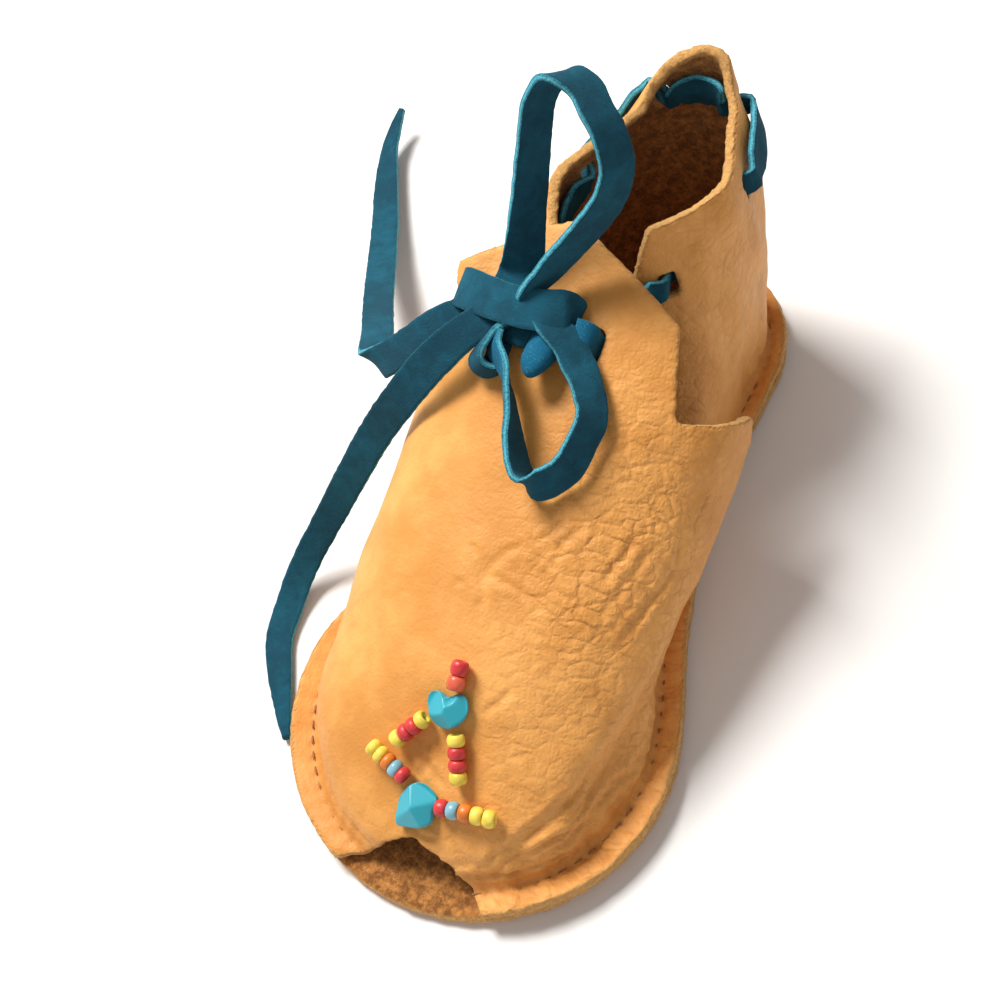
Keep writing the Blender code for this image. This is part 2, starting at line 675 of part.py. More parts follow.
def quarter_flange(along):
    """Points of the flange from its outer edge in to the wall's foot."""
    foot = quarter_point(along, 0.0)
    stitch, out = heel_line(along)
    stitch.z = FLANGE_TOP
    reach = inset(stitch.x, stitch.y)
    line = [stitch + out * reach * part for part in (1.0, 0.5)]
    line = [point + UP * edge_curl(point.x, point.y) for point in line]
    return line + [stitch + out * fold_out + UP * rise for fold_out, rise in FOLD] + [foot]


def make_quarter(collection, cutters, material):
    """The heel piece, its front ends tucked inside the wings, with holes for the lace."""
    arc = (HEEL_RADIUS - HEEL_FLANGE) * math.pi / 2.0
    join = arc + HEEL_HUB_Y - FLANGE_JOIN_Y
    flanged = spread(-join, join, 2 * QUARTER_RIBS)
    front = spread(join, QUARTER_FRONT, TUCKED_RIBS)[1:]
    stations = [-along for along in reversed(front)] + flanged + front
    bm = bmesh.new()
    skin(bm, [[quarter_point(along, level) for level in QUARTER_ROWS] for along in stations])
    skin(bm, [quarter_flange(along) for along in flanged])
    quarter = finish(bm, "upper_quarter", material, collection)
    thicken(quarter, LEATHER)
    for number, (along, level) in enumerate(LACE_HOLES):
        point, forward, upward, _ = quarter_frame(along, level)
        hole = block(frame_at(point, forward, upward), (HOLE_LENGTH, HOLE_HEIGHT, 14.0))
        cut(quarter, make_cutter(f"lace_hole_{number}", hole, cutters))


LaceSection = namedtuple("LaceSection", "centre side width")


def route_sections(rows):
    """Sections of a lace at even steps on a smooth curve through the rows."""
    Station = namedtuple("Station", ("along",) + LaceRow._fields)
    stations = [Station(0.0, *rows[0])]
    for before, row in zip(rows, rows[1:]):
        step = (Vector(row[:3]) - Vector(before[:3])).length
        stations.append(Station(stations[-1].along + step, *row))
    length = stations[-1].along

    def vector(at, *names):
        return Vector([column(stations, "along", name, at) for name in names])

    sections = []
    for at in spread(0.0, length, round(length / LACE_STEP)):
        ahead = vector(at + 0.2, "x", "y", "z") - vector(at - 0.2, "x", "y", "z")
        side = vector(at, "side_x", "side_y", "side_z")
        side -= side.project(ahead)
        width = column(stations, "along", "width", at)
        sections.append(LaceSection(vector(at, "x", "y", "z"), side.normalized(), width))
    return sections


def make_ribbon(name, sections, collection, material):
    bm = bmesh.new()
    ribs = []
    for centre, side, width in sections:
        ribs.append([centre - side * 0.5 * width, centre + side * 0.5 * width])
    skin(bm, ribs)
    thicken(finish(bm, name, material, collection), LACE_THICKNESS, offset=0.0)


def lace_offset(along):
    """How far the ankle lace's middle stands outside the quarter's outer face."""
    offset = LACE_OUTSIDE
    inwards = LACE_INSIDE - LACE_OUTSIDE
    for hole in LACE_HOLES:
        offset += inwards * ease(along, hole.along - CROSSING_REACH, hole.along + CROSSING_REACH)
        inwards = -inwards
    for start, end in (LACE_HOLES[1:3], LACE_HOLES[3:5]):
        part = (along - start.along) / (end.along - start.along)
        offset += LACE_SLACK * max(0.0, math.sin(math.pi * min(max(part, 0.0), 1.0)))
    return offset


def lace_stations():
    """Distances along the quarter for the ankle lace's sections, closer at each hole."""
    stops = [LACE_RIGHT_END]
    for hole in LACE_HOLES:
        near, far = hole.along - CROSSING_REACH, hole.along + CROSSING_REACH
        steps = max(1, round((near - stops[-1]) / LACE_STEP))
        stops += spread(stops[-1], near, steps)[1:]
        stops += spread(near, far, CROSSING_STEPS)[1:]
    steps = max(1, round((LACE_LEFT_END - stops[-1]) / LACE_STEP))
    return stops + spread(stops[-1], LACE_LEFT_END, steps)[1:]


def make_ankle_lace(collection, material):
    """One lace from the right slit of the flap round the quarter to the left slit."""
    round_quarter = []
    for along in lace_stations():
        level = column(LACE_HOLES, "along", "level", along)
        point, _, upward, outward = quarter_frame(along, level)
        nearest = min(abs(along - hole.along) for hole in LACE_HOLES)
        width = LACE_BUNCHED + (LACE_WIDTH - LACE_BUNCHED) * ease(nearest, *BUNCHING)
        centre = point + outward * lace_offset(along)
        round_quarter.append(LaceSection(centre, upward, width))
    sections = route_sections(RIGHT_FRONT) + round_quarter + route_sections(LEFT_FRONT)
    make_ribbon("lace_ankle", sections, collection, material)


def loft(bm, rings):
    """A closed solid through rings of as many points each."""
    rows = [[bm.verts.new(point * MM) for point in ring] for ring in rings]
    for near, far in zip(rows, rows[1:]):
        for corner in range(len(near)):
            after = (corner + 1) % len(near)
            bm.faces.new((near[corner], near[after], far[after], far[corner]))
    bm.faces.new(list(reversed(rows[0])))
    bm.faces.new(rows[-1])


def make_knot(collection, material):
    """The band of lace over the bow, with rounded sections."""
    side = Vector(KNOT_SIDE).normalized()
    rings = []
    for number, row in enumerate(KNOT_BAND):
        before = KNOT_BAND[max(number - 1, 0)]
        after = KNOT_BAND[min(number + 1, len(KNOT_BAND) - 1)]
        ahead = (Vector(after[:3]) - Vector(before[:3])).normalized()
        top = ahead.cross(side).normalized()
        ring = []
        for corner in range(KNOT_CORNERS):
            angle = 2.0 * math.pi * corner / KNOT_CORNERS
            across = side * math.cos(angle) * row.width + top * math.sin(angle) * row.height
            ring.append(Vector(row[:3]) + across * 0.5)
        rings.append(ring)
    bm = bmesh.new()
    loft(bm, rings)
    bmesh.ops.recalc_face_normals(bm, faces=bm.faces)
    return finish(bm, "lace_knot", material, collection)


def make_lump(knot, cutters):
    """The rounded lump of lace that shows under the band, joined to it."""
    bm = bmesh.new()
    size = Matrix.Diagonal([length * MM for length in LUMP_SIZE] + [1.0])
    place = Matrix.Translation(Vector(LUMP_CENTRE) * MM)
    bmesh.ops.create_uvsphere(bm, u_segments=12, v_segments=8, radius=0.5, matrix=place @ size)
    lump = make_cutter("knot_lump", bm, cutters)
    joined = knot.modifiers.new("Lump", "BOOLEAN")
    joined.operation = "UNION"
    joined.object = lump
    joined.solver = "EXACT"


def on_vamp(x, y):
    """Point and outward direction of the dome's outer face over a place in plan."""
    step = 0.05
    slope_x = (vamp_height(x + step, y) - vamp_height(x - step, y)) / (2.0 * step)
    slope_y = (vamp_height(x, y + step) - vamp_height(x, y - step)) / (2.0 * step)
    return Vector((x, y, vamp_height(x, y))), Vector((-slope_x, -slope_y, 1.0)).normalized()


def make_bead(name, place, length, collection, material):
    """A seed bead: a short fat ring on its own axis."""
    outer = 0.5 * (BEAD_RADIUS + BEAD_HOLE)
    rounding = 0.5 * (BEAD_RADIUS - BEAD_HOLE)
    bpy.ops.mesh.primitive_torus_add(
        major_radius=outer * MM,
        minor_radius=rounding * MM,
        major_segments=BEAD_SIDES,
        minor_segments=BEAD_SECTION,
    )
    bead = bpy.context.object
    bead.name = name
    stretch = Matrix.Diagonal((1.0, 1.0, 0.5 * length / rounding, 1.0))
    bead.data.transform(place @ stretch)
    bead.data.materials.append(material)
    bead.data.shade_smooth()
    for holder in list(bead.users_collection):
        holder.objects.unlink(bead)
    collection.objects.link(bead)


def make_beads(collection, materials):
    """Each row of beads lies on the vamp, strung along the row."""
    for row in BEAD_ROWS:
        start, end = Vector(row.start), Vector(row.end)
        gaps = len(row.colours) - 1
        pitch = (end - start).length / gaps
        for number, colour in enumerate(row.colours):
            x, y = start.lerp(end, number / gaps)
            surface, outward = on_vamp(x, y)
            axis = Vector((*(end - start), 0.0))
            axis = (axis - axis.project(outward)).normalized()
            centre = surface + outward * (BEAD_RADIUS + BEAD_GAP)
            turn = Matrix((outward, axis.cross(outward), axis)).transposed().to_4x4()
            place = Matrix.Translation(centre * MM) @ turn
            name = f"bead_{row.name}_{number + 1}"
            make_bead(name, place, pitch - BEAD_GAP, collection, materials[colour])


def make_nugget(name, centre, corners, collection, material):
    """A tumbled stone, its sides drawn in towards top and bottom."""
    surface, outward = on_vamp(*centre)
    across = Vector((1.0, 0.0, 0.0))
    across = (across - across.project(outward)).normalized()
    ahead = outward.cross(across)
    rings = []
    for height, share in NUGGET_RINGS:
        base = surface + outward * (NUGGET_LIFT + NUGGET_HEIGHT * height)
        ring = []
        for corner in corners:
            angle = math.radians(corner.angle)
            out = across * math.cos(angle) + ahead * math.sin(angle)
            ring.append(base + out * corner.reach * share)
        rings.append(ring)
    bm = bmesh.new()
    loft(bm, rings)
    bmesh.ops.recalc_face_normals(bm, faces=bm.faces)
    finish(bm, name, material, collection)


def main():
    clear_scene()
    parts = new_collection("baby_moccasin")
    cutters = new_collection("cutters")
    leather = new_material("golden deerskin", LEATHER_GOLD, 0.62)
    suede = new_material("teal suede", LACE_TEAL, 0.85)
    stone = new_material("turquoise", STONE_TURQUOISE, 0.35)
    glass = {name: new_material(f"{name} bead", colour, 0.3) for name, colour in BEAD_COLOURS.items()}
    make_outsole(parts, leather)
    make_vamp(parts, cutters, leather)
    make_quarter(parts, cutters, leather)
    make_ankle_lace(parts, suede)
    make_lump(make_knot(parts, suede), cutters)
    make_ribbon("lace_loop_upper", route_sections(UPPER_LOOP), parts, suede)
    make_ribbon("lace_loop_lower", route_sections(LOWER_LOOP), parts, suede)
    make_ribbon("lace_end_short", route_sections(SHORT_END), parts, suede)
    make_ribbon("lace_end_long", route_sections(LONG_END), parts, suede)
    make_beads(parts, glass)
    make_nugget("nugget_heart", HEART_CENTRE, HEART, parts, stone)
    make_nugget("nugget_wedge", WEDGE_CENTRE, WEDGE, parts, stone)


main()
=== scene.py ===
"""Baby moccasin, dressed: golden deerskin sewn to a flat sole, a teal suede lace tied in a bow,
and seed beads and turquoise nuggets strung on the toe.

Each operator makes one piece, or one group of like pieces, over the shoe's own solids.
Lengths are in millimetres in the shapes and become metres when a mesh is written.
"""

import bisect
import math
from collections import namedtuple

import bmesh
import bpy
import numpy as np
from mathutils import Matrix, Vector, noise
from mathutils.bvhtree import BVHTree
from mathutils.kdtree import KDTree


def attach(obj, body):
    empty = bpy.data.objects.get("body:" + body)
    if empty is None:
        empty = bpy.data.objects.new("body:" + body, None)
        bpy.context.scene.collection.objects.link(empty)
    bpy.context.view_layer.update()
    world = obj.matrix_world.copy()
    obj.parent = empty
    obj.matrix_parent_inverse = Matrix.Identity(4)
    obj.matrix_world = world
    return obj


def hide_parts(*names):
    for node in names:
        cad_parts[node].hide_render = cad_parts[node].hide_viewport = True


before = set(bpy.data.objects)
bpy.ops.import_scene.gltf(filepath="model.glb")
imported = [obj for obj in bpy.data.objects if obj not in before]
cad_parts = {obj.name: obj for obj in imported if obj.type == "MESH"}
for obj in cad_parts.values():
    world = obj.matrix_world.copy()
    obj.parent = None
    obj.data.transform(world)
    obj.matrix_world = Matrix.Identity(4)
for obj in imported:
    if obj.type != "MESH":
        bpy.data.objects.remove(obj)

bl_info = {
    "name": "Baby Moccasin",
    "version": (1, 0, 0),
    "blender": (4, 5, 0),
    "location": "View3D > Sidebar > Moccasin",
    "description": "Leather, laces, beads and stitches of a baby moccasin",
    "category": "Object",
}

MM = 0.001
UP = Vector((0.0, 0.0, 1.0))
WELD = 1e-6
SAME_PLACE = 1e-7


def rows(kind, *lines):
    """A table with a named row for each line of values."""
    return tuple(kind(*line) for line in lines)


# ---------------------------------------------------------------- shapes of the shoe

LEATHER = 1.8
GAP = 0.45
FLANGE_TOP = 2.0 * LEATHER + GAP
FOLD = ((0.8, 0.0), (0.2, 0.2))
WALL_FOOT = FLANGE_TOP + 0.7
TOE_RADIUS = 31.3
TOE_HUB_Y = -32.0
HEEL_RADIUS = 20.0
HEEL_HUB_Y = 43.5
Side = namedtuple("Side", "y half_width")
SIDES = rows(
    Side,
    (-32.0, 31.3), (-28.0, 30.9), (-20.0, 28.8), (-12.0, 25.9), (-3.0, 23.0), (8.0, 20.6),
    (20.0, 19.6), (32.0, 19.6), (43.5, 20.0),
)
VAMP_FLANGE = 4.4
HEEL_FLANGE = 3.4
CURL_REACH = 4.3
CURL_HEIGHT = 1.1
CURL_WAVES = 5
SOLE_CURL_SHARE = 0.75
VampSection = namedtuple("VampSection", "y bulge bulge_z crown_z crown_x roundness")
VAMP_SECTIONS = rows(
    VampSection,
    (-32.0, 26.2, 7.0, 24.6, 0.0, 2.0),
    (-16.0, 26.3, 13.0, 31.0, 0.0, 2.2),
    (0.0, 26.2, 18.0, 37.2, -0.8, 2.3),
    (12.0, 26.4, 22.0, 42.2, -2.5, 2.5),
    (22.0, 26.2, 25.5, 46.4, -4.0, 2.8),
    (32.0, 25.6, 27.0, 50.4, -4.6, 2.8),
)
TOE_BULGE = 25.8
TOE_BULGE_Z = 6.0
TOE_ROUNDNESS = 1.5
CROWN_SLOPE = 0.40
VAMP_REAR_Y = 34.0

# The outlines that are cut out of the vamp, in plan or seen from the side
NOTCH_PLAN = (
    (-18.3, -66.0), (-9.3, -60.1), (0.6, -54.8), (10.9, -57.1), (20.6, -67.1),
    (20.6, -72.0), (-18.3, -72.0),
)
FLAP_EDGE_PLAN = (
    (-40.0, 14.0), (-22.2, 21.6), (-19.3, 22.6), (-16.4, 24.7), (-10.2, 28.6),
    (-4.8, 30.4), (14.8, 21.2), (40.0, 9.2), (40.0, 60.0), (-40.0, 60.0),
)
WING_REAR_PROFILE = ((14.0, -3.0), (14.0, 4.8), (19.5, 28.0), (45.0, 28.0), (45.0, -3.0))
RIGHT_GAP_PROFILE = ((19.5, 28.0), (9.9, 36.6), (9.9, 75.0), (45.0, 75.0), (45.0, 27.0))
LEFT_GAP_PROFILE = (
    (19.5, 28.0), (9.5, 31.5), (13.5, 38.0), (17.9, 42.7), (22.2, 44.7), (45.0, 52.0),
    (45.0, 27.0),
)
WING_REAR_X = 8.0
FLAP_LIFT = 4.9
FLAP_SIDE_X = 18.3
FLAP_SIDE_Y = 9.9
FLAP_SIDE_SLANT = -0.303
FLAP_SLITS = ((4.1, 14.6), (-9.8, 12.0))
SLIT_WIDTH = 2.0
SLIT_LENGTH = 4.9
FLAP_LEAST_Z = 34.0

Rim = namedtuple("Rim", "along x y z bulge")
RIM = rows(
    Rim,
    (-65.0, 6.2, 31.4, 50.0, -3.6),
    (-54.0, 10.8, 36.2, 50.2, 0.0),
    (-42.0, 13.8, 42.8, 50.0, 1.6),
    (-33.0, 13.0, 48.0, 49.8, 2.4),
    (-25.0, 10.8, 53.6, 50.8, 2.8),
    (-17.0, 8.8, 58.6, 53.2, 2.4),
    (-8.0, 6.0, 62.0, 55.7, 1.6),
    (0.0, 2.2, 62.4, 56.5, 1.4),
    (8.0, -1.4, 59.8, 55.8, 2.6),
    (15.0, -3.6, 56.8, 53.0, 3.8),
    (22.0, -5.2, 53.8, 50.2, 4.2),
    (31.0, -8.6, 47.6, 49.4, 3.2),
    (41.0, -12.2, 42.0, 48.8, 2.0),
    (52.0, -13.0, 37.0, 48.0, 0.8),
    (65.0, -10.2, 30.0, 46.2, 0.0),
)
QUARTER_FRONT = 65.0
QUARTER_TUCK = 3.7
TUCK_FROM_Y = 19.0
TUCK_TO_Y = 13.0
FLANGE_JOIN_Y = 14.3
TUCKED_FOOT = 2.4
BULGE_PEAK = 2.1

LACE_WIDTH = 5.4
LACE_THICKNESS = 1.05
LACE_BUNCHED = 3.4
BUNCHING = (1.8, 5.5)
LACE_OUTSIDE = 1.05
LACE_INSIDE = -3.1
LACE_SLACK = 0.20
CROSSING_REACH = 1.5
LaceHole = namedtuple("LaceHole", "along level")
LACE_HOLES = rows(
    LaceHole,
    (-58.0, 0.80), (-31.0, 0.88), (-13.0, 0.87), (11.0, 0.87), (33.0, 0.88), (53.0, 0.82),
)
LACE_RIGHT_END = -62.0
LACE_LEFT_END = 56.0
HOLE_LENGTH = 2.8
HOLE_HEIGHT = 4.1
HOLE_REACH = 7.0

# Lace routes: centre, width, and the direction across the lace
LaceRow = namedtuple("LaceRow", "x y z width side_x side_y side_z")
RIGHT_FRONT = rows(
    LaceRow,
    (1.4, 14.7, 45.6, 3.4, 0.00, 0.93, 0.37),
    (2.8, 14.8, 45.5, 3.4, 0.00, 0.93, 0.37),
    (3.7, 14.8, 44.6, 3.5, 0.00, 0.94, 0.34),
    (4.1, 14.7, 42.6, 3.8, 0.00, 0.94, 0.34),
    (4.4, 15.2, 40.6, 4.2, 0.00, 0.92, 0.40),
    (5.4, 18.0, 39.6, 4.5, 0.00, 0.85, 0.53),
    (6.4, 21.6, 39.8, 4.8, 0.00, 0.65, 0.76),
    (7.2, 24.6, 40.2, 4.8, 0.00, 0.50, 0.87),
)
LEFT_FRONT = rows(
    LaceRow,
    (-15.2, 26.2, 39.4, 4.8, 0.05, 0.45, 0.89),
    (-15.6, 20.8, 38.2, 4.6, 0.10, 0.62, 0.78),
    (-14.0, 16.0, 37.1, 4.4, 0.10, 0.85, 0.52),
    (-11.6, 13.2, 37.1, 4.2, 0.05, 0.93, 0.36),
    (-10.1, 12.3, 38.8, 4.2, 0.00, 0.94, 0.34),
    (-9.8, 12.0, 41.0, 4.2, 0.00, 0.94, 0.34),
    (-9.7, 12.0, 43.4, 4.2, 0.00, 0.94, 0.34),
)
KnotRow = namedtuple("KnotRow", "x y z width height")
KNOT_BAND = rows(
    KnotRow,
    (-18.6, 17.0, 44.7, 6.0, 1.8),
    (-16.8, 16.5, 45.5, 6.2, 2.6),
    (-13.4, 15.6, 46.3, 6.0, 3.4),
    (-9.2, 14.9, 46.8, 5.8, 4.0),
    (-6.0, 14.9, 46.9, 5.8, 4.2),
    (-3.0, 15.6, 46.8, 6.1, 4.0),
    (-0.7, 16.6, 46.4, 6.2, 3.4),
    (0.9, 17.6, 45.9, 5.2, 2.2),
)
KNOT_SIDE = (0.08, 0.90, 0.42)
# A lump marked lit is painted all over in the lit lace colour: painted light.
Lump = namedtuple("Lump", "centre size lit")
LUMPS = rows(
    Lump,
    ((-2.3, 11.0, 44.5), (5.2, 10.0, 3.8), 1.0),
    ((-7.2, 13.3, 43.6), (8.0, 5.4, 2.8), 0.0),
    ((-9.6, 9.2, 42.1), (3.6, 7.0, 1.8), 0.0),
)

# The turned-down end of the band, and the small bight of lace left of the lower loop
BAND_END = rows(
    LaceRow,
    (-0.4, 17.0, 46.4, 5.4, 0.08, 0.90, 0.42),
    (0.3, 17.1, 45.5, 4.6, 0.10, 0.90, 0.42),
    (0.2, 17.0, 44.3, 3.8, 0.12, 0.90, 0.42),
)
BIGHT = rows(
    LaceRow,
    (-8.6, 12.9, 45.4, 3.2, -0.58, -0.04, -0.82),
    (-10.3, 10.8, 45.2, 3.8, -0.58, -0.04, -0.82),
    (-11.2, 8.3, 44.5, 4.0, -0.58, -0.04, -0.82),
    (-11.4, 6.7, 43.8, 4.0, -0.58, -0.04, -0.82),
    (-10.7, 5.9, 43.0, 3.8, -0.58, -0.04, -0.82),
    (-9.5, 6.0, 42.2, 3.4, -0.55, -0.10, -0.83),
    (-8.5, 6.9, 41.8, 3.0, -0.50, -0.16, -0.85),
    (-8.0, 8.2, 41.8, 2.6, -0.45, -0.20, -0.87),
)

# The upper loop leaves the knot, stands up and comes back under the band
UPPER_LOOP = rows(
    LaceRow,
    (-10.7, 16.9, 46.3, 5.4, 0.93, 0.36, -0.05),
    (-10.5, 18.6, 46.7, 6.0, 0.93, 0.36, -0.05),
    (-10.2, 20.4, 47.5, 6.2, 0.93, 0.36, -0.05),
    (-9.8, 21.4, 48.9, 6.2, 0.91, 0.41, -0.06),
    (-9.6, 22.6, 51.1, 6.0, 0.84, 0.52, -0.15),
    (-9.5, 24.5, 54.6, 5.8, 0.67, 0.67, -0.30),
    (-9.4, 29.1, 62.2, 5.6, 0.52, 0.76, -0.41),
    (-8.9, 31.7, 68.1, 5.4, 0.50, 0.76, -0.41),
    (-8.3, 32.9, 71.0, 5.4, 0.50, 0.76, -0.41),
    (-6.5, 34.3, 73.7, 5.4, 0.50, 0.76, -0.41),
    (-4.1, 34.4, 74.4, 5.4, 0.38, 0.87, -0.32),
    (-1.5, 33.8, 73.5, 5.4, 0.42, 0.85, -0.32),
    (0.9, 31.8, 72.0, 5.4, 0.40, 0.86, -0.31),
    (3.0, 30.4, 69.7, 5.4, 0.50, 0.76, -0.41),
    (4.4, 28.6, 65.5, 5.4, 0.53, 0.78, -0.33),
    (3.3, 26.5, 60.8, 5.4, 0.55, 0.60, -0.58),
    (-0.3, 23.4, 55.6, 5.4, 0.47, 0.51, -0.72),
    (-3.6, 20.1, 51.9, 5.2, 0.38, 0.47, -0.79),
    (-4.6, 18.8, 50.8, 4.8, 0.29, 0.43, -0.85),
    (-5.8, 17.3, 49.8, 4.4, 0.27, 0.47, -0.84),
    (-6.5, 16.3, 48.8, 4.0, 0.28, 0.55, -0.78),
    (-6.9, 16.1, 47.0, 3.6, 0.28, 0.60, -0.74),
)
LOWER_LOOP = rows(
    LaceRow,
    (-3.7, 14.7, 47.0, 4.4, 0.74, 0.60, -0.28),
    (-1.4, 13.3, 46.8, 4.6, 0.72, 0.62, -0.30),
    (1.1, 12.3, 45.8, 5.0, 0.69, 0.65, -0.32),
    (3.9, 9.9, 44.2, 5.2, 0.67, 0.67, -0.33),
    (5.2, 8.6, 43.7, 5.1, 0.59, 0.69, -0.42),
    (6.8, 6.7, 42.9, 5.1, 0.62, 0.60, -0.51),
    (8.3, 3.9, 41.8, 5.1, 0.63, 0.39, -0.67),
    (8.2, -0.0, 40.3, 5.2, 0.59, 0.42, -0.69),
    (7.4, -3.6, 38.9, 5.4, 0.55, 0.15, -0.82),
    (5.6, -5.8, 38.0, 5.4, 0.52, 0.00, -0.85),
    (3.8, -7.2, 37.9, 5.4, 0.52, -0.04, -0.85),
    (2.2, -7.2, 38.2, 5.4, 0.49, 0.11, -0.87),
    (0.4, -5.4, 39.1, 5.3, 0.21, 0.55, -0.81),
    (-1.3, -2.7, 40.4, 5.2, 0.14, 0.50, -0.85),
    (-2.9, 0.5, 42.0, 5.1, -0.10, 0.41, -0.91),
    (-4.3, 3.0, 43.3, 4.9, -0.18, 0.32, -0.93),
    (-6.3, 6.0, 44.6, 4.4, -0.36, 0.04, -0.93),
    (-8.9, 8.4, 45.0, 4.0, -0.49, -0.16, -0.86),
    (-9.8, 10.7, 45.1, 3.6, -0.58, -0.21, -0.79),
    (-10.2, 12.9, 44.8, 3.2, -0.57, -0.22, -0.79),
    (-10.1, 14.7, 44.9, 3.0, -0.54, -0.19, -0.82),
)
SHORT_END = rows(
    LaceRow,
    (-15.9, 14.8, 44.1, 4.6, -0.70, 0.62, 0.36),
    (-18.2, 13.1, 43.2, 4.8, -0.70, 0.62, 0.36),
    (-20.2, 11.8, 42.4, 5.0, -0.70, 0.62, 0.36),
    (-21.6, 11.2, 41.2, 5.4, -0.70, 0.62, 0.36),
    (-25.3, 9.5, 38.0, 5.4, -0.74, 0.58, 0.34),
    (-30.0, 8.5, 33.5, 5.4, -0.79, 0.52, 0.32),
    (-34.2, 8.6, 29.5, 5.6, -0.87, 0.33, 0.35),
    (-37.6, 12.1, 26.2, 5.6, -0.98, -0.08, 0.14),
    (-41.9, 18.3, 22.0, 5.6, -0.96, -0.26, -0.04),
    (-49.4, 28.1, 15.0, 5.6, -0.95, -0.32, -0.04),
    (-57.4, 40.2, 8.5, 5.6, -0.95, -0.32, -0.04),
    (-63.9, 51.2, 4.8, 5.4, -0.95, -0.29, -0.09),
    (-70.7, 63.5, 3.4, 4.8, -0.96, -0.24, -0.17),
    (-73.8, 70.6, 3.6, 3.6, -0.95, -0.19, -0.25),
    (-75.0, 76.3, 4.6, 2.2, -0.99, 0.04, -0.10),
    (-75.2, 79.7, 5.6, 1.0, -0.99, 0.11, -0.05),
)
LONG_END = rows(
    LaceRow,
    (-10.6, 15.0, 45.6, 4.6, 0.93, -0.21, -0.30),
    (-12.2, 12.7, 45.6, 4.9, 0.93, -0.21, -0.30),
    (-14.0, 10.4, 45.1, 5.2, 0.93, -0.21, -0.30),
    (-16.6, 7.3, 43.5, 5.6, 0.93, -0.21, -0.30),
    (-19.6, 4.7, 40.5, 5.8, 0.93, -0.21, -0.30),
    (-24.2, 1.0, 34.5, 5.8, 0.95, -0.16, -0.28),
    (-29.2, -2.3, 27.0, 5.6, 0.94, -0.14, -0.32),
    (-33.4, -6.6, 19.5, 5.4, 0.94, -0.07, -0.34),
    (-36.6, -10.4, 13.5, 5.2, 0.93, 0.00, -0.36),
    (-39.2, -14.6, 8.6, 5.0, 0.93, 0.08, -0.37),
    (-41.2, -20.3, 4.2, 4.9, 0.93, 0.26, -0.28),
    (-41.2, -26.7, 1.7, 4.9, 0.89, 0.43, -0.14),
    (-40.0, -32.4, 1.1, 4.6, 0.87, 0.49, -0.06),
    (-36.8, -37.7, 1.0, 4.2, 0.87, 0.49, 0.00),
    (-32.6, -43.5, 1.0, 2.6, 0.87, 0.49, 0.00),
    (-29.6, -47.4, 1.0, 1.2, 0.87, 0.49, 0.00),
)

BEAD_RADIUS = 1.36
BEAD_HOLE = 0.4
BEAD_LIFT = 0.35
BeadRow = namedtuple("BeadRow", "name start end colours")
BEAD_ROWS = rows(
    BeadRow,
    ("crown", (1.7, -32.2), (1.9, -34.0), ("red", "coral")),
    ("left_leg", (-1.8, -39.7), (-4.8, -43.1), ("yellow", "red", "red", "yellow")),
    ("right_leg", (4.25, -40.45), (6.0, -44.7), ("yellow", "red", "red", "yellow")),
    ("left_arm", (-8.1, -45.4), (-2.6, -47.2), ("yellow", "yellow", "orange", "sky", "red")),
    ("right_arm", (4.75, -49.1), (11.9, -47.8), ("red", "sky", "orange", "yellow", "yellow")),
)
BEAD_COLOURS = ("red", "coral", "yellow", "orange", "sky")
NUGGET_LIFT = 0.35
NUGGET_HEIGHT = 3.4
NuggetCorner = namedtuple("NuggetCorner", "angle reach")
HEART_CENTRE = (1.9, -37.3)
HEART = rows(
    NuggetCorner,
    (-147.9, 3.2), (-118.0, 3.1), (-90.0, 2.9), (-62.0, 2.8), (-35.2, 2.7), (-5.4, 2.8),
    (21.6, 3.0), (44.4, 3.2), (62.0, 3.1), (80.8, 2.4), (102.9, 1.8), (124.7, 1.9),
    (140.7, 3.0), (156.3, 3.7), (174.6, 3.7), (193.0, 3.4),
)
WEDGE_CENTRE = (0.85, -50.15)
WEDGE = rows(
    NuggetCorner,
    (-152.5, 3.3), (-134.2, 4.0), (-119.4, 4.6), (-103.2, 3.8), (-84.4, 3.4), (-56.7, 3.3),
    (-28.5, 3.3), (0.0, 2.7), (19.1, 2.9), (39.8, 3.4), (61.6, 3.3), (91.9, 3.4),
    (123.3, 3.2), (148.4, 2.9), (177.9, 3.0),
)

